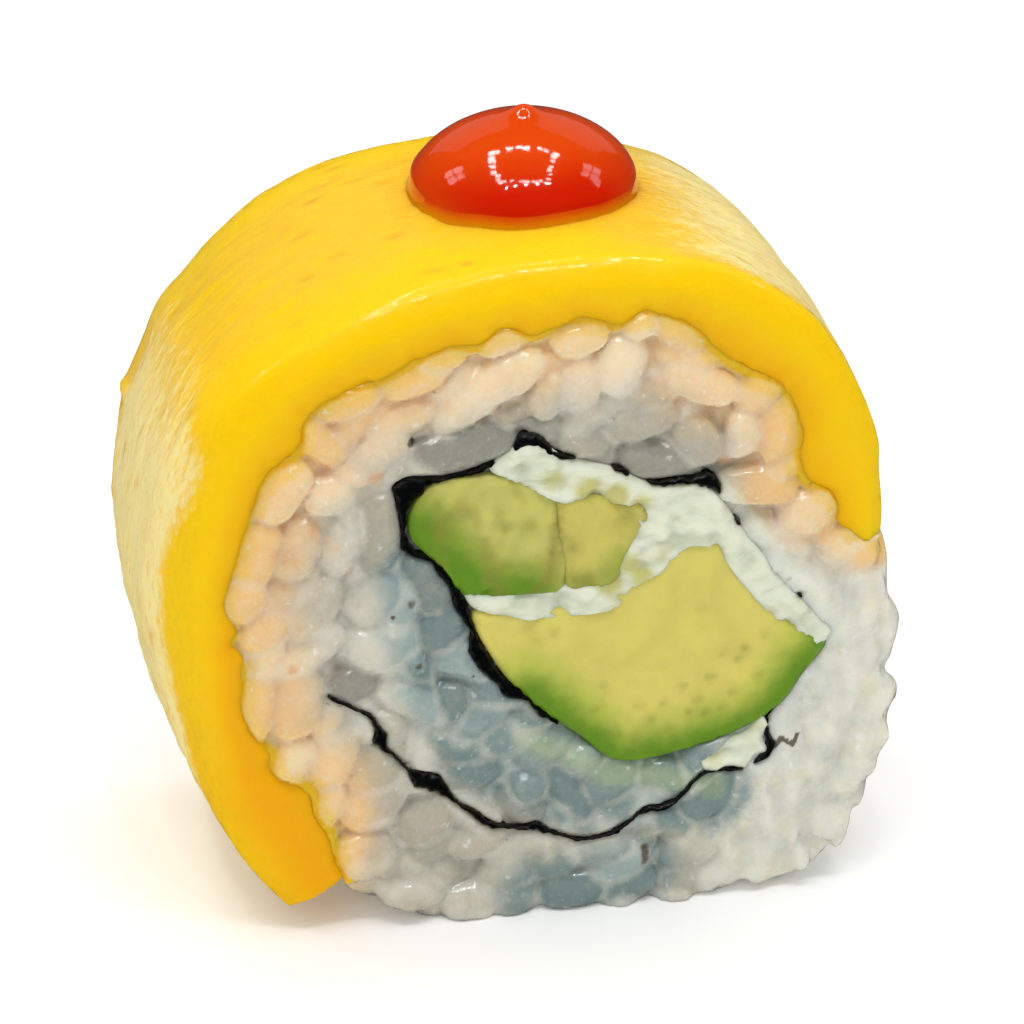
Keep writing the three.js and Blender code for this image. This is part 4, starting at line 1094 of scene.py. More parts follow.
def grains_in_front(draw):
    """The grains that stand out on the cut face, and the places that they take up."""
    grains, taken = [], []
    for x1, z1, x2, z2, wide, tone, lift in FACE_GRAINS:
        run = np.array([x2 - x1, 0.0, z2 - z1])
        long = max(np.linalg.norm(run) + 0.7, wide * 1.25)
        along = unit(unit(run) + [0, draw.uniform(-0.12, 0.12), 0])
        out = unit(np.array([0, -1.0, 0]) + along[1] * along)
        half = np.array([long, wide * 1.12, max(wide * 0.95, 2.2)]) / 2
        low = 0.5 * (min(z1, z2) < 4)
        at = np.array([(x1 + x2) / 2, half[2] - HALF_DEPTH + 0.1 - lift * 0.85, (z1 + z2) / 2 - low])
        grains.append((at, along, out, half, draw.uniform(-0.3, 0.3), tone, 1))
        taken += [at[[0, 2]] + share * run[[0, 2]] for share in (-0.28, 0.0, 0.28)]
    return grains, taken


def seeded_half(draw, grain, thinnest, shortest):
    """Half the length, width and thickness of a seeded grain."""
    scale = draw.uniform(thinnest, 1.04)
    return np.array([grain[0] * draw.uniform(shortest, 1.0), grain[1] * scale, grain[2] * scale]) / 2


def grains_on_face(draw, grain, side, layer, fillings, used):
    """Seeded grains over what is free of one cut face, in its under layer or its top one."""
    grains = []
    spots = np.column_stack([draw.uniform(-20, 24, 5200), draw.uniform(0.3, 41.5, 5200)])
    angle, _, radius = polar(*spots.T)
    room = rice_radius(angle) - radius
    _, _, grey_and_shade, smear = rice_zones(*spots.T)
    good = (room > 0.85) & (outline_distance(spots, fillings) > 0.5)
    for spot, turn, free, smeared, cold in zip(*(v[good] for v in (spots, angle, room, smear, grey_and_shade))):
        gaps = np.linalg.norm(np.array(used or [(99, 99)]) - spot, axis=1)
        if gaps.min() < (1.9 if layer == 0 else 1.65 + 0.5 * smeared):
            continue
        used.append(spot)
        lean = math.radians(draw.uniform(-70, 70) * min(max((free - 0.6) / 3.4, 0.1), 1))
        way = math.radians(turn + 90) + lean
        end_on = layer == 1 and draw.random() < 0.24
        dip = draw.uniform(0.8, 1.6) if end_on else draw.uniform(-0.2, 0.2)
        along = unit([math.cos(way), -side * dip, math.sin(way)])
        out = unit(np.array([0, side * 1.0, 0]) - side * along[1] * along)
        half = seeded_half(draw, grain, 0.8, 0.74)
        if free < 4 and abs(lean) > 0.1:
            half[0] = max(min(half[0], free / math.sin(abs(lean))), half[1])
        rise = np.hypot(half[2] * out[1], half[0] * along[1])
        proud = draw.uniform(-0.34, 0.12) * (1 - 0.7 * smeared) + 0.1 * cold - 0.6 * (layer == 0)
        at = np.array([spot[0], side * (HALF_DEPTH - rise + proud), spot[1]])
        grains.append((at, along, out, half, draw.uniform(-0.35, 0.35), draw.uniform(-0.35, 0.6), layer))
    return grains


def grains_on_flank(draw, grain):
    """Seeded grains over the bare rim, from under the mango's left end round to its right end."""
    grains, laid = [], []
    for _ in range(6000):
        turn = draw.uniform(MANGO_END_INSIDE + 2.5, 360 + MANGO_START - 3)
        y = draw.uniform(-1, 1) * (HALF_DEPTH - 1.4)
        place = np.array([math.radians(turn) * ROLL_RADIUS, y])
        if laid and np.linalg.norm(np.array(laid) - place, axis=1).min() < 1.95:
            continue
        laid.append(place)
        ray = math.radians(turn)
        outward = np.array([math.cos(ray), 0, math.sin(ray)])
        spin = draw.uniform(-math.pi / 2, math.pi / 2)
        along = np.array([-math.sin(ray) * math.cos(spin), math.sin(spin), math.cos(ray) * math.cos(spin)])
        along = unit(along + outward * draw.uniform(-0.1, 0.1))
        out = unit(outward - (outward @ along) * along)
        half = seeded_half(draw, grain, 0.84, 0.78)
        half[0] = min(half[0], (HALF_DEPTH + 0.2 - abs(y)) / max(abs(along[1]), 0.25))
        half[0] = max(half[0], half[1] * 1.1)
        radius = rice_radius(turn) - half[2] - draw.uniform(0.0, 0.45)
        at = np.array([radius * math.cos(ray), y, AXIS_HEIGHT + radius * math.sin(ray)])
        grains.append((at, along, out, half, draw.uniform(-0.3, 0.3), draw.uniform(-0.25, 0.7), 1))
    return grains


def place_grains(sizes, fillings):
    """Every grain of the heap: those that stand out in front, and seeded ones elsewhere."""
    draw = np.random.default_rng(21)
    grain = [size / MM for size in (sizes.grain_length, sizes.grain_width, sizes.grain_thickness)]
    grains, taken = grains_in_front(draw)
    for side in (-1, 1):
        for layer in (0, 1):
            used = taken if (side, layer) == (-1, 1) else []
            grains += grains_on_face(draw, grain, side, layer, fillings, used)
    return sorted(grains + grains_on_flank(draw, grain), key=lambda grain: grain[-1])


def mango_front(radius, around):
    """How far behind the cut face the mango's face lies, near its inner edge."""
    into = np.clip(radius - mango_inside(around) + MANGO_TUCK, 0, 6) / 4.9
    return np.interp(into, *np.array(MANGO_FACE[:11]).T)


def on_mango(radius, around, reach):
    """1 where the mango's face is, from a little inside its inner edge, and 0 elsewhere."""
    return smooth_step((radius - mango_inside(around) + reach) / 0.5) * (around < MANGO_END_INSIDE + 1)


def rice_core(heap, nori_gap):
    """The heap under its grains, a little sunk where it is bare and up to the mango where it isn't."""
    x, z = heap.flat.T
    angle, around, radius = polar(x, z)
    bare = smooth_step((around - 229) / 5) * (1 - smooth_step((around - 363) / 3))
    _, _, _, smear = rice_zones(x, z)
    beside = (1 - bare) * (1 - smooth_step((rice_radius(angle) - radius) / 1.5))
    sink = 1.2 - 0.85 * smear - 0.45 * (1 - smooth_step((nori_gap - 0.3) / 1.0)) - 0.75 * beside
    reach = heap.sheet(radius - rice_radius(angle) + 1.2 * bare)
    reach = reach - heap.sheet(1.02 * smear * bare) * heap.deep(at_face(heap.axes[1]))
    faces = heap.deep(np.abs(heap.axes[1]))
    return np.maximum(reach, faces - HALF_DEPTH + heap.sheet(np.maximum(sink, 0.3)))


def fit_to_mango(heap, faces):
    """Takes away what the mango takes up, and leaves a film of rice where it wets the mango's face."""
    _, around, radius = polar(*heap.flat.T)
    past = heap.sheet(mango_inside(around) - 0.06 - radius) - MANGO_TUCK * smooth_step((faces - 9.4) / 1.4)
    ends = np.minimum(MANGO_END_INSIDE + 0.5 - around, around - MANGO_START + 0.5) * math.pi / 180 * radius
    ends = np.where(around > 300, -5.0, ends)
    film = faces - HALF_DEPTH + heap.sheet(mango_front(radius, around)) + 0.05
    beside = on_mango(radius, around, 0.9)
    within = np.where(beside > 0, radius - mango_inside(around) + 0.1, -9.0)
    loose = np.maximum(heap.field, heap.sheet(within))
    near = np.clip(0.55 - np.abs(loose - film), 0, None) * heap.sheet(beside)
    melted = np.minimum(loose, film) - near * near * 0.25 / 0.55
    heap.field[:] = np.where(heap.sheet(beside) > 0, np.maximum(melted, loose - 0.4), loose)
    heap.cut(np.maximum(np.maximum(past, heap.sheet(-ends)), film + 0.5))


def fit_to_nori(heap, faces, line, gap, share):
    """Takes away the sheet's own room, and the wider and ragged one where it shows on the front."""
    heap.cut(np.maximum(heap.sheet(gap - 0.3), faces - HALF_DEPTH + 1.3))
    thick, _, behind = nori_shows(share)
    _, shift, _ = nori_shows(np.linspace(0, 1, len(line)))
    showing, _ = line_distance(heap.flat, line + turned_right(line, False) * shift[:, None])
    edge = np.maximum(faces - HALF_DEPTH + heap.sheet(behind), HALF_DEPTH - GRAINS_DEEP - faces)
    heap.cut(np.maximum(heap.sheet(showing - np.maximum(thick - 0.06, 0) / 2), edge))
    valley = HALF_DEPTH - 0.5 + 0.9 * np.clip(showing - thick / 2, 0, None) + 2 * (behind - 0.12)
    heap.cut((heap.sheet(valley) - faces) * 0.75)


def rice_values(heap, points, quads):
    """What the rice's paint needs at each point, and which points no one sees."""
    slope = heap.slope(points)
    normal = slope / np.maximum(np.linalg.norm(slope, axis=1), 1e-6)[:, None]
    eased = smooth_mesh(points, quads, 10, 0.6)
    hollow = np.einsum("ij,ij->i", eased - points, normal)
    hollow = smooth_mesh(hollow[:, None], quads, 2, 0.5)[:, 0]
    x, y, z = points.T
    angle, around, radius = polar(x, z)
    mango_glow, touch_glow, grey_and_shade, smear = rice_zones(x, z)
    face = at_face(y, 7.5, 3.5)
    front = face * (y < 0)
    melt = 1 - smooth_step((np.abs(y) - HALF_DEPTH + mango_front(radius, around) - 0.05) / 0.5)
    thread = 0.95 * np.exp(-((gap_to(BROWN_THREAD, points) / 0.2) ** 2))
    values = {
        "melt": melt * on_mango(radius, around, 0.7) * face,
        # Orange painted shade in the gaps between grains
        "gap_shade": marks(points, GAP_SHADE_MARKS) * front,
        "dark": np.maximum(marks(points, DARK_MARKS), thread) * front,
        "leafy": (1 - smooth_step(gap_to(LEAFY_UNDER, points) / 1.8)) * face,
        "creamy": (1 - smooth_step((gap_to(CREAMY_BESIDE, points) - 0.3) / 1.5)) * face,
        "tone": heap.sample(heap.tone, points) + 0.45 * (1 - face) * (around > MANGO_END_INSIDE),
        # How hollow the surface is, which the paint darkens as painted shade
        "crease_shade": np.clip(hollow / 0.22, 0, 1.6),
        "edge": np.clip(heap.sample(heap.second, points) - heap.sample(heap.first, points), 0, 2),
        # Painted glow from the mango, and greyness that holds painted shade along the bottom
        "mango_glow": mango_glow * face, "touch_glow": touch_glow * face, "grey_and_shade": grey_and_shade * face * np.where(y > 0, 0.8, 1.0),
        "smear": smear * (0.25 + 0.75 * face),
    }
    inner = radius < rice_radius(angle) - 3.2
    hidden = (np.abs(y) < HALF_DEPTH - GRAINS_DEEP) & ((around < 226) | (around > 366.5) | inner)
    return values, hidden


def heap_rice(sizes, colours):
    """The rice as one heap of grains that stick together, with room for what it holds."""
    heap = Heap(sizes.rice_cell / MM)
    line = smooth_line(NORI_LINE, False, 0.4)
    gap, share = line_distance(heap.flat, line)
    heap.field[:] = rice_core(heap, gap)
    heart = smooth_line(NORI_LINE[3:23] + ((9.5, 10.4), (5.3, 10.2), (-0.2, 15.2)), True, 0.8)
    for at, along, out, half, bend, tone, layer in place_grains(sizes, heart):
        _, _, grey_and_shade, smear = (float(v[0]) for v in rice_zones(at[:1], at[2:]))
        blend = 0.1 + 0.4 * smear * float(at_face(at[1], ease=3)) + 0.08 * grey_and_shade + 0.15 * (layer == 0)
        heap.grain(at, along, out, half, bend, tone, blend, layer)
    heap.roughen()
    faces = heap.deep(np.abs(heap.axes[1]))
    fit_to_mango(heap, faces)
    rooms = [(cut["outline"], 0.5, -0.05, -3.0) for cut in AVOCADOS.values()]
    for knots, spacing, larger, over in rooms + [(CHEESE, 0.5, -0.2, 0.0), (CHEESE_CORNER, 0.4, -0.2, 0.0)]:
        room = outline_distance(heap.flat, grown(smooth_line(knots, True, spacing), larger))
        heap.cut(np.maximum(heap.sheet(room), faces - HALF_DEPTH + over))
    fit_to_nori(heap, faces, line, gap, share)
    # The slice rests on a flat sole
    heap.cut(heap.axes[2].reshape(1, 1, -1).astype(np.float32) - 0.02)
    points, quads = heap.skin()
    for _ in range(2):
        points = smooth_mesh(points, quads, 1, 0.5)
        slope, far = heap.slope(points), heap.sample(heap.field, points)
        points -= slope * np.clip(far / np.maximum((slope**2).sum(1), 0.2), -0.2, 0.2)[:, None]
    values, hidden = rice_values(heap, points, quads)
    piece = new_piece("rice_heap", settle(points), quads, rice_paint(colours), values, ["rice"])
    thin_out(piece, hidden, min(1 - 0.9 * hidden.mean(), RICE_TRIANGLES / (2 * len(quads))))
    triangles = sum(len(f.vertices) - 2 for f in piece.data.polygons)
    if triangles > TRIANGLES_ALLOWED:
        raise RuntimeError(f"the rice has too many faces: {triangles}")


def thin_out(piece, hidden, ratio):
    """Takes faces away where no one sees them, and keeps the thinner mesh."""
    piece.vertex_groups.new(name="buried").add(np.flatnonzero(hidden).tolist(), 1.0, "REPLACE")
    thin = piece.modifiers.new("thin", "DECIMATE")
    thin.vertex_group, thin.vertex_group_factor, thin.ratio = "buried", 1000.0, ratio
    graph = bpy.context.evaluated_depsgraph_get()
    whole = piece.evaluated_get(graph)
    made = bpy.data.meshes.new_from_object(whole, preserve_all_data_layers=True, depsgraph=graph)
    made.name = piece.name
    piece.modifiers.clear()
    piece.data = made


# The nori and the fillings


def lay_nori(sizes, colours):
    """The sheet of nori, thin and uneven, from its end inside the roll round to its outer end."""
    line = smooth_line(NORI_LINE, False, 0.15)
    count = len(line)
    right = turned_right(line, False)
    share = np.linspace(0, 1, count)
    row = np.column_stack([share * 97, 0 * share])
    shows, shift, behind = nori_shows(share)
    sheet = sizes.nori_thickness / MM * (1 + 0.15 * ripples(row, 3.1, 32))
    shows = shows * (1 + 0.16 * ripples(row, 0.55, 35)) + 0.08 * ripples(row, 0.9, 33) * (shows > 0.1)
    shows = np.maximum(shows, 0.15)
    shift = shift + 0.05 * ripples(row, 0.7, 36) * (shows > 0.16)
    # From the front face to the back one: how deep, pushed in by how much of the recess, how pinched, and how
    # much it takes the thickness that shows
    steps = np.array([0.0, 0.08, 0.25, 0.7, 1.5, 3.0, 8.0, 16.0, 21.0, 22.5, 23.3, 23.75, 23.92, 24.0])
    inward = np.array([1.0, 1, 1, 1, 1, 1, 0, 0, -1, -1, -1, -1, -1, -1])
    pinch = np.array([0.3, 0.75, 1.0, 1, 1, 1, 1, 1, 1, 1, 1, 1.0, 0.75, 0.3])
    near = np.array([1.0, 1.0, 1.0, 0.85, 0.4, 0, 0, 0, 0, 0.4, 0.85, 1, 1, 1])
    ragged = 0.1 * np.abs(ripples(row, 1.3, 34))
    y = steps - HALF_DEPTH + inward * (behind + ragged)[:, None]
    half = (sheet[:, None] * (1 - near) + shows[:, None] * near) / 2 * pinch
    sides = []
    for way in (1, -1):
        place = line[:, None] + right[:, None] * (shift[:, None] * near + way * half)[..., None]
        sides.append(np.stack([place[..., 0], y, place[..., 1]], -1)[:, ::way])
    points = np.concatenate(sides, 1)
    size = points.shape[1]
    faces = list(tube_faces(count, size)[:, ::-1])
    faces += fan(np.arange(size), count * size, False)
    faces += fan(np.arange(size) + (count - 1) * size, count * size + 1, True)
    points = np.vstack([points.reshape(-1, 3), points[0].mean(0), points[-1].mean(0)])
    new_piece("nori_sheet", settle(points), faces, nori_paint(colours), {}, ["nori"])


def filling(name, knots, recess, relief, spacing, round_edge):
    """A filling from face to face: fine cut faces with relief and eased edges, and its sides."""
    outline = smooth_line(knots, True, spacing * 0.8)
    if signed_area(outline) < 0:
        outline = outline[::-1]
    low, high = outline.min(0), outline.max(0)
    rows = []
    for i, v in enumerate(np.arange(low[1], high[1], spacing * 0.87)):
        u = np.arange(low[0] + (i % 2) * spacing / 2, high[0], spacing)
        rows.append(np.column_stack([u, np.full(len(u), v)]))
    inner = np.vstack(rows)
    inner = inner[outline_distance(inner, outline) < -spacing * 0.45]
    count = len(outline)
    flat = np.vstack([outline, inner])
    edges = [(i, (i + 1) % count) for i in range(count)]
    places, _, faces, _, _, _ = delaunay_2d_cdt([Vector(p) for p in flat], edges, [], 1, 1e-6)
    places = np.array([tuple(p) for p in places])
    if len(places) != len(flat):
        raise RuntimeError(f"{name}: the cut face has crossing edges")
    inside = -outline_distance(flat, outline)
    inside[:count] = 0
    drop = round_edge - np.sqrt(np.maximum(round_edge**2 - np.clip(round_edge - inside, 0, None) ** 2, 0))
    lift = [relief(flat, seed) * smooth_step(inside / 0.7) for seed in (0, 1)]
    front = np.column_stack([flat[:, 0], -HALF_DEPTH + recess + drop - lift[0], flat[:, 1]])
    back = np.column_stack([flat[:, 0], HALF_DEPTH - recess - drop + lift[1], flat[:, 1]])
    total = len(flat)
    start = -HALF_DEPTH + recess + round_edge
    depths = np.linspace(start, -start, 9)[1:-1]
    walls = [np.column_stack([outline[:, 0], np.full(count, d), outline[:, 1]]) for d in depths]
    points = np.vstack([front, back] + walls)
    triangles = [list(f) for f in faces]
    turned = [f[::-1] for f in triangles]
    a, b, c = (flat[triangles[0][k]] for k in range(3))
    up = (b[0] - a[0]) * (c[1] - a[1]) - (b[1] - a[1]) * (c[0] - a[0]) > 0
    near, far = (triangles, turned) if up else (turned, triangles)
    everything = near + [[v + total for v in f] for f in far]
    rings = [np.arange(count)] + [np.arange(count) + 2 * total + k * count for k in range(len(walls))]
    rings.append(np.arange(count) + total)
    for one, two in zip(rings, rings[1:]):
        everything += list(np.column_stack([one, two, np.roll(two, -1), np.roll(one, -1)]))
    return points, everything


def skin_side(points, line, near, far):
    """1 along the skin side of an avocado piece, easing to 0 inside it."""
    return 1 - smooth_step((gap_to(line, points) - near) / (far - near))


def lumpy(rows, raised=0.0):
    """The relief of a cut face, from rows of height, size and seed; the back face takes the next seeds."""
    return lambda flat, back: swells(flat, *((high, size, seed + back) for high, size, seed in rows)) + raised


def cut_avocado(colours):
    """The three pieces of avocado, each with its own greens."""
    for side, cut in AVOCADOS.items():
        name = f"avocado_{side}_piece"
        shape = (cut["outline"], cut["recess"], lumpy(cut["relief"]), cut["spacing"], cut["round_edge"])
        points, faces = filling(name, *shape)
        # Green towards the skin side, and painted shade along the seam where two pieces meet
        values = {key: cut[key][0] * skin_side(points, *cut[key][1:]) for key in ("green", "seam_shade")}
        values["speck"] = marks(points, cut["specks"], cut["speck_size"])
        heart, flesh = getattr(colours, cut["heart"]), getattr(colours, cut["flesh"])
        paint = avocado_paint(cut["paint"], heart, flesh, cut["patchy"], colours)
        new_piece(name, settle(points), faces, paint, values, [f"avocado_{side}"])


def spread_cheese(colours):
    """The band of cream cheese and its small lump at the lower right."""
    paint = cheese_paint(colours)
    for name, node, knots, recess, spacing, round_edge, smears in CHEESES:
        points, faces = filling(name, knots, recess, lumpy(CHEESE_LUMPS, 0.12), spacing, round_edge)
        new_piece(name, settle(points), faces, paint, {"olive": marks(points, smears, 1.0)}, [node])


# The sauce


def mango_top(x, y):
    """Height of the mango's outside under a point, after it has settled."""
    near_top = 22
    angle = 90 - 90 * x / near_top
    for _ in range(12):
        ray = np.radians(angle)
        radius = mango_ridge(angle, y)
        flat = np.column_stack([radius * np.cos(ray), y, AXIS_HEIGHT + radius * np.sin(ray)])
        swell = swells(np.column_stack([ray * ROLL_RADIUS, y, np.full(len(ray), 4.0)]), *MANGO_SWELLS)
        flat += np.column_stack([np.cos(ray), 0 * ray, np.sin(ray)]) * swell[:, None]
        there = settle(flat)
        angle = angle + np.degrees((there[:, 0] - x) / near_top)
    return there[:, 2]


def drop_sauce(colours):
    """The drop of sauce: a steep dome with a small tip, thinning out where it wets the mango."""
    sides = 128
    turn = np.linspace(0, 2 * math.pi, sides, endpoint=False)
    ring_x = 1 + 0.012 * np.sin(2 * turn + 0.4) + 0.008 * np.sin(3 * turn)
    flare = 1 + 0.35 * np.cos(turn - math.radians(195)) + 0.12 * np.sin(3 * turn + 1.0)

    def ring(radius):
        """A ring of places round the drop's middle, a little out of round."""
        return DROP_AT[0] + radius * ring_x * np.cos(turn), DROP_AT[1] + radius * ring_x * np.sin(turn)

    rings, thin, body = [], [], []
    for spread, lift in DROP_FOOT:
        x, y = ring(DROP_RADIUS + spread * flare)
        rings.append(np.column_stack([x, y, mango_top(x, y) + lift]))
        thin.append(np.full(sides, 1.0 - max(lift, 0) * 0.75))
        body.append(np.full(sides, 1.0))
    edge = rings[-1][:, 2]
    rise = np.sin(np.linspace(0, math.pi / 2, 60)[1:-1])
    for share, radius in zip(rise, DROP_RADIUS * (1 - rise**2.05) ** 0.6):
        own = smooth_step(share / 0.45)
        height = DROP_WIDEST + (DROP_TOP - DROP_WIDEST) * share
        z = height * own + (1 - own) * (edge + (DROP_TOP - edge) * share)
        z += DROP_TIP * math.exp(-((radius / 0.95) ** 2))
        rings.append(np.column_stack([*ring(radius), z]))
        thin.append(np.clip(0.42 - (z - edge) / 3.2, 0, 1))
        # Lighter on the upper part as a painted sheen of the light above, and on the left and right sides
        body.append(np.clip((z - 46.0) / 3.0, 0, 1) + 0.95 * np.abs(np.cos(turn)) ** 2.5 * (1 - share))
    tip = (*DROP_AT, DROP_TOP + DROP_TIP)
    floor = (*DROP_AT, mango_top(*np.array(DROP_AT)[:, None])[0] - SAUCE_UNDER)
    under = []
    for share in (0.33, 0.66):
        x, y = (at + (rings[0][:, k] - at) * share for k, at in enumerate(DROP_AT))
        under.append(np.column_stack([x, y, mango_top(x, y) - SAUCE_UNDER]))
    stack = under + rings
    faces = list(tube_faces(len(stack), sides))
    faces += fan(np.arange(sides) + (len(stack) - 1) * sides, len(stack) * sides, False)
    faces += fan(np.arange(sides), len(stack) * sides + 1, True)
    below = [np.ones(len(under) * sides)]
    values = {
        "thin": np.concatenate(below + thin + [[0.0, 1.0]]),
        "body": np.concatenate(below + body + [[1.0, 1.0]]),
    }
    points = np.vstack([*stack, tip, floor])
    new_piece("sauce_dome", points, faces, sauce_paint(colours), values, ["sauce_drop"])


# The stage


def light_panel(name, middle, way, far, width, height, radiance, shines=True):
    """A rectangle of light in a direction from the piece, facing it."""
    light = bpy.data.lights.new(name, "AREA")
    light.shape, light.size, light.size_y = "RECTANGLE", width, height
    light.energy = radiance * math.pi * width * height
    lamp = bpy.data.objects.new(name, light)
    lamp.location = middle + Vector(way) * far
    lamp.rotation_euler = (-Vector(way)).to_track_quat("-Z", "Y").to_euler()
    lamp.visible_glossy = shines
    bpy.context.scene.collection.objects.link(lamp)
    return lamp


def set_lights():
    """A soft white world, softboxes at both sides, and small lamps that the sauce and the ridge reflect."""
    scene = bpy.context.scene
    world = bpy.data.worlds.new("soft_white")
    world.use_nodes = True
    background = world.node_tree.nodes["Background"].inputs
    background["Color"].default_value, background["Strength"].default_value = (1.0, 1.0, 1.0, 1), 0.44
    scene.world = world
    world.cycles_visibility.glossy = False
    above = Vector((0.0018, 0.0, 0.047))
    light_panel("back_wall", above, (0.18, 0.85, 0.5), 0.8, 1.1, 0.5, 0.22)
    light_panel("front_fill", above, (-0.25, -0.72, 0.65), 0.9, 0.5, 0.35, 1.55, False)
    for name, way, radiance in (("left", (-0.71, 0.31, 0.64), 3.0), ("right", (0.77, 0.07, 0.63), 2.3)):
        way = Vector(way)
        across = way.cross((0, 0, 1)).normalized()
        for i, (u, v) in enumerate(((-1, -1), (1, -1), (-1, 1), (1, 1))):
            spot = way + across * u * 0.075 + way.cross(across) * v * 0.075
            light_panel(f"{name}_softbox_{i}", above, spot.normalized(), 0.55, 0.07, 0.07, radiance)
    # A square frame of small lamps overhead, which the sauce shows as a dotted ring
    turn = math.radians(VIEW_TURN)
    draw = np.random.default_rng(5)
    high, half, count = 0.42, 0.155, 7
    for side in range(4):
        for i in range(count):
            x, y = half * (2 * (i + draw.uniform(-0.25, 0.25)) / count - 1), -half * draw.uniform(0.92, 1.06)
            for _ in range(side):
                x, y = -y, x
            each = draw.uniform(0.022, 0.036)
            lamp = light_panel(f"ring_{side}_{i}", above, (0, 0, 1), high, each, each, 17.0)
            x, y = x * math.cos(turn) - y * math.sin(turn), x * math.sin(turn) + y * math.cos(turn)
            lamp.location += Vector((x, y, 0))
            lamp.rotation_euler = (0, 0, turn)
    # Small bright lamps just in front of the ring, for the wet glints on the cut face
    for i, x in enumerate((-0.16, -0.09, -0.02, 0.06, 0.13)):
        light_panel(f"glint_{i}", above, Vector((x, -0.2, 0.42)).normalized(), 0.46, 0.018, 0.018, 78.0)


def set_stage(colours):
    """Pale floor, soft light and the camera."""
    scene = bpy.context.scene
    bpy.ops.mesh.primitive_plane_add(size=6.0, location=(0, 0, 0))
    floor = bpy.context.object
    floor.name = "floor"
    floor.data.materials.append(floor_paint(colours))
    floor.visible_glossy = False
    floor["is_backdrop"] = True
    set_lights()
    camera_data = bpy.data.cameras.new("camera")
    camera_data.lens, camera_data.sensor_width = VIEW_LENS, 36.0
    camera_data.clip_start, camera_data.clip_end = 0.01, 20.0
    camera = bpy.data.objects.new("camera", camera_data)
    turn, tilt = math.radians(VIEW_TURN), math.radians(VIEW_TILT)
    back = Vector((math.sin(turn) * math.cos(tilt), -math.cos(turn) * math.cos(tilt), math.sin(tilt)))
    camera.location = Vector(VIEW_TARGET) + back * VIEW_FAR
    camera.rotation_euler = (-back).to_track_quat("-Z", "Y").to_euler()
    scene.collection.objects.link(camera)
    scene.camera = camera
    scene.view_settings.view_transform = "Standard"
    scene.view_settings.look = "None"


# Settings, operators and panel


def length(name, description, default):
    """A size that the user can change."""
    return bpy.props.FloatProperty(name=name, description=description, default=default, min=0, unit="LENGTH")


def colour(name, description, screen):
    """A colour that the user can change, given as it is read off a screen."""
    return bpy.props.FloatVectorProperty(
        name=name, description=description, default=linear(*screen), subtype="COLOR", size=3, min=0, max=1
    )


class RollSizes(bpy.types.PropertyGroup):
    grain_length: length("Grain length", "Length of a whole cooked grain", 0.0064)
    grain_width: length("Grain width", "Width of a cooked grain", 0.0028)
    grain_thickness: length("Grain thickness", "Thickness of a cooked grain", 0.0026)
    rice_cell: length("Rice detail", "Size of the smallest detail in the rice", 0.000274)
    nori_thickness: length("Nori thickness", "Thickness of the moist sheet", 0.00045)
    mango_steps: bpy.props.IntProperty(
        name="Mango steps", description="Rings of points along the mango", default=380, min=24
    )


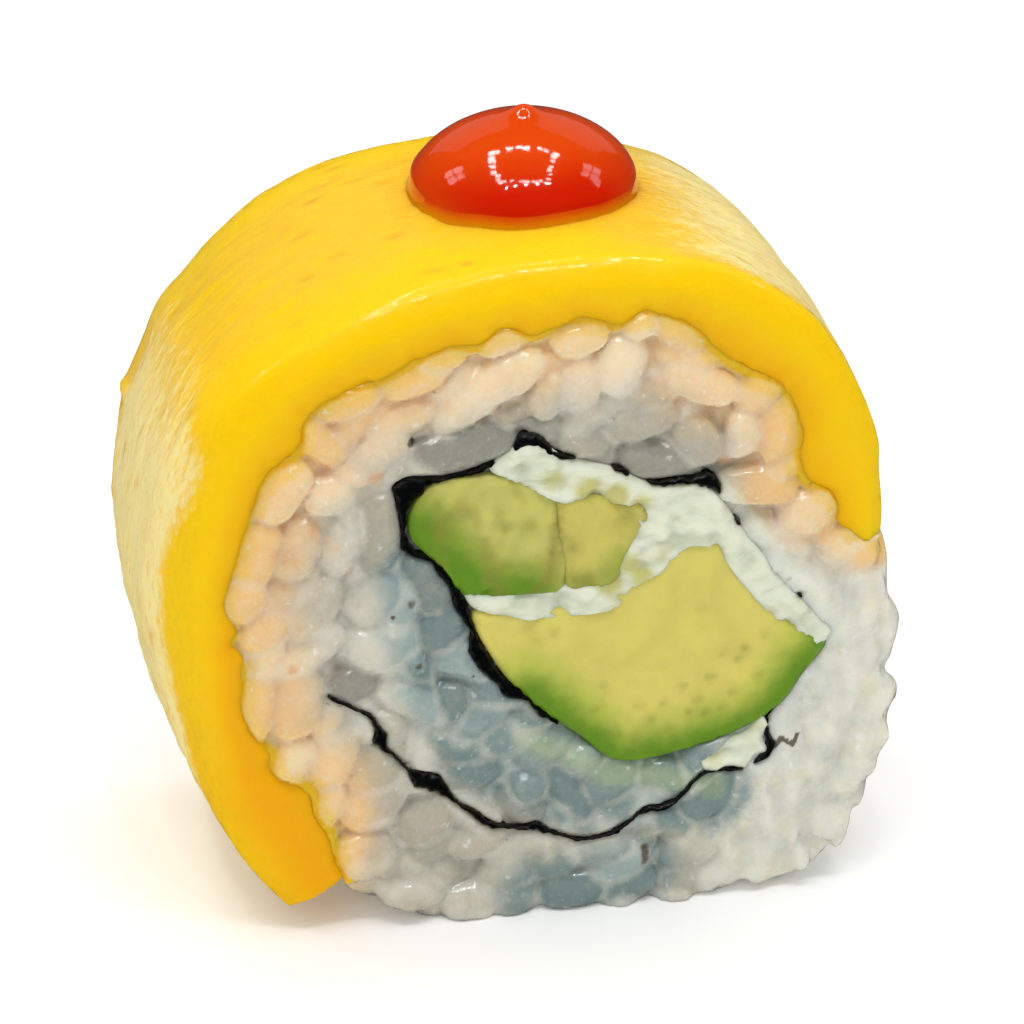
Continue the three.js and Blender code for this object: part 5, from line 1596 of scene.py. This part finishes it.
class RollColours(bpy.types.PropertyGroup):
    mango_bright: colour("Mango ridge", "Clear yellow at the ridge", (253, 204, 0))
    # Also the painted shade on the lower left of the cut face
    mango_deep: colour("Mango inside", "Golden yellow towards the rice", (246, 177, 0))
    mango_outside: colour("Mango outside", "Softer yellow of the outside", (250, 197, 40))
    mango_cream: colour("Mango cream", "Creamy streaks of the outside", (255, 236, 170))
    mango_halo: colour("Mango, under the sauce", "Where the sauce tints the mango", (250, 158, 10))
    mango_dash: colour("Mango dashes", "Fine darker dashes on the pale sides", (214, 172, 92))
    mango_pit: colour("Mango pits", "Small darker pits", (205, 150, 40))
    rice_milky: colour("Rice", "Rice in general", (186, 182, 166))
    rice_pale: colour("Rice, pale", "The palest grains", (224, 221, 208))
    # Painted glow that the mango throws on the rice beside it, and on the paler grains
    rice_mango_glow: colour("Rice, warm", "Rice beside the mango", (244, 202, 142))
    rice_mango_glow_pale: colour("Rice, warm and pale", "Paler grains beside the mango", (252, 228, 194))
    rice_leafy: colour("Rice under the avocado", "Rice that the avocado tints", (178, 194, 150))
    rice_melted: colour("Rice, on the mango", "Rice where it wets the mango", (252, 188, 40))
    rice_creamy: colour("Rice, creamy", "Rice that the cheese smears", (236, 238, 222))
    # Orange painted shade for the gaps between grains
    rice_gap_shade: colour("Rice, amber", "Amber marks between grains", (222, 164, 100))
    rice_dark: colour("Rice, dark marks", "Small dark marks", (82, 64, 42))
    # Greyer rice inside the nori, also used as painted shade along the bottom
    rice_grey_and_shade: colour("Rice, cool", "Rice inside the nori", (130, 149, 148))
    rice_grey_and_shade_pale: colour("Rice, cool and pale", "Paler grains inside the nori", (176, 190, 187))
    rice_vein: colour("Rice, where grains meet", "Milky line between two grains", (244, 240, 224))
    rice_clear: colour("Rice, clear", "Glassy grains on the nori", (156, 156, 146))
    # Painted glow where the rice touches the mango
    rice_touch_glow: colour("Rice, golden", "Rice that touches the mango", (246, 200, 104))
    rice_smeared: colour("Rice, smeared", "Smeared rice at the right", (227, 229, 219))
    rice_butter: colour("Rice, buttery", "Yellower patches of the smeared rice", (232, 226, 196))
    # Painted shade for the hollows between grains, beside the mango and elsewhere
    rice_crease_shade: colour("Rice creases", "Creases beside the mango", (238, 186, 118))
    rice_crease_shade_grey: colour("Rice creases, cool", "Creases elsewhere", (150, 150, 136))
    nori_black: colour("Nori", "Nori", (6, 8, 9))
    nori_glint: colour("Nori glints", "Glints of the nori", (24, 32, 34))
    avocado_heart: colour("Avocado heart", "Buttery middle of the large piece", (222, 210, 110))
    avocado_flesh: colour("Avocado flesh", "Between the middle and the rim", (190, 196, 84))
    avocado_rim: colour("Avocado rim", "Green of the skin side", (106, 150, 32))
    avocado_light: colour("Avocado, left", "Light green of the left piece", (204, 200, 108))
    avocado_mid: colour("Avocado, green", "Full green of the left piece", (160, 172, 72))
    avocado_olive: colour("Avocado, middle", "Olive yellow of the middle piece", (210, 200, 104))
    # Painted shade along the seam where two pieces meet
    avocado_seam_shade: colour("Avocado seam", "Browned edge between two pieces", (142, 122, 52))
    avocado_shade: colour("Avocado, shaded", "Olive patches of the small pieces", (150, 140, 62))
    avocado_speck: colour("Avocado specks", "Small dark marks", (128, 132, 44))
    cheese: colour("Cheese", "Cream cheese", (232, 236, 214))
    cheese_shade: colour("Cheese, thin", "Thinner cream cheese", (206, 212, 186))
    cheese_olive: colour("Cheese, smeared", "Avocado smeared in the cheese", (196, 192, 108))
    sauce_deep: colour("Sauce, deep", "Deep middle of the drop", (206, 32, 4))
    # Also the painted sheen on the upper part of the drop
    sauce_body_and_sheen: colour("Sauce", "Upper part and sides of the drop", (220, 72, 12))
    sauce_thin: colour("Sauce, thin", "Thin edge of the drop", (244, 140, 6))
    floor: colour("Floor", "The pale floor", (250, 250, 249))


class LayMango(bpy.types.Operator):
    """Lay the slab of mango over the rice"""

    bl_idname, bl_label = "sushi.lay_mango", "Mango"

    def execute(self, context):
        lay_mango(context.scene.roll_sizes, context.scene.roll_colours)
        return {"FINISHED"}


class HeapRice(bpy.types.Operator):
    """Heap the rice, grain by grain, round the fillings"""

    bl_idname, bl_label = "sushi.heap_rice", "Rice"

    def execute(self, context):
        heap_rice(context.scene.roll_sizes, context.scene.roll_colours)
        return {"FINISHED"}


class RollNori(bpy.types.Operator):
    """Lay the sheet of nori along its spiral"""

    bl_idname, bl_label = "sushi.roll_nori", "Nori"

    def execute(self, context):
        lay_nori(context.scene.roll_sizes, context.scene.roll_colours)
        return {"FINISHED"}


class CutAvocado(bpy.types.Operator):
    """Cut the three pieces of avocado"""

    bl_idname, bl_label = "sushi.cut_avocado", "Avocado"

    def execute(self, context):
        cut_avocado(context.scene.roll_colours)
        return {"FINISHED"}


class SpreadCheese(bpy.types.Operator):
    """Spread the cream cheese"""

    bl_idname, bl_label = "sushi.spread_cheese", "Cream cheese"

    def execute(self, context):
        spread_cheese(context.scene.roll_colours)
        return {"FINISHED"}


class DropSauce(bpy.types.Operator):
    """Put the drop of sauce on the mango"""

    bl_idname, bl_label = "sushi.drop_sauce", "Sauce"

    def execute(self, context):
        drop_sauce(context.scene.roll_colours)
        return {"FINISHED"}


class SetStage(bpy.types.Operator):
    """Set the floor, the light and the camera"""

    bl_idname, bl_label = "sushi.set_stage", "Stage"

    def execute(self, context):
        set_stage(context.scene.roll_colours)
        return {"FINISHED"}


STEPS = (SetStage, LayMango, RollNori, CutAvocado, SpreadCheese, DropSauce, HeapRice)


class SushiPanel(bpy.types.Panel):
    bl_idname, bl_label = "SUSHI_PT_roll", "Mango Sushi Roll"
    bl_space_type, bl_region_type, bl_category = "VIEW_3D", "UI", "Sushi"

    def draw(self, context):
        for step in STEPS:
            self.layout.operator(step.bl_idname)
        for group in (context.scene.roll_sizes, context.scene.roll_colours):
            for key in group.bl_rna.properties.keys():
                if key not in ("rna_type", "name"):
                    self.layout.prop(group, key)


CLASSES = (RollSizes, RollColours) + STEPS + (SushiPanel,)


def register():
    """Makes Blender know the classes and the scene's settings."""
    for one in CLASSES:
        bpy.utils.register_class(one)
    bpy.types.Scene.roll_sizes = bpy.props.PointerProperty(type=RollSizes)
    bpy.types.Scene.roll_colours = bpy.props.PointerProperty(type=RollColours)


def unregister():
    """Takes both away again."""
    del bpy.types.Scene.roll_sizes, bpy.types.Scene.roll_colours
    for one in reversed(CLASSES):
        bpy.utils.unregister_class(one)


def main():
    """Dresses the frame piece by piece and works out both boxes."""
    register()
    for step in STEPS:
        group, name = step.bl_idname.split(".")
        getattr(getattr(bpy.ops, group), name)()
    boxes = {"frame": FRAME_BOX, "dressed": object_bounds()}
    boxes = {key: [[float(c) for c in corner] for corner in box] for key, box in boxes.items()}


if __name__ == "__main__":
    main()
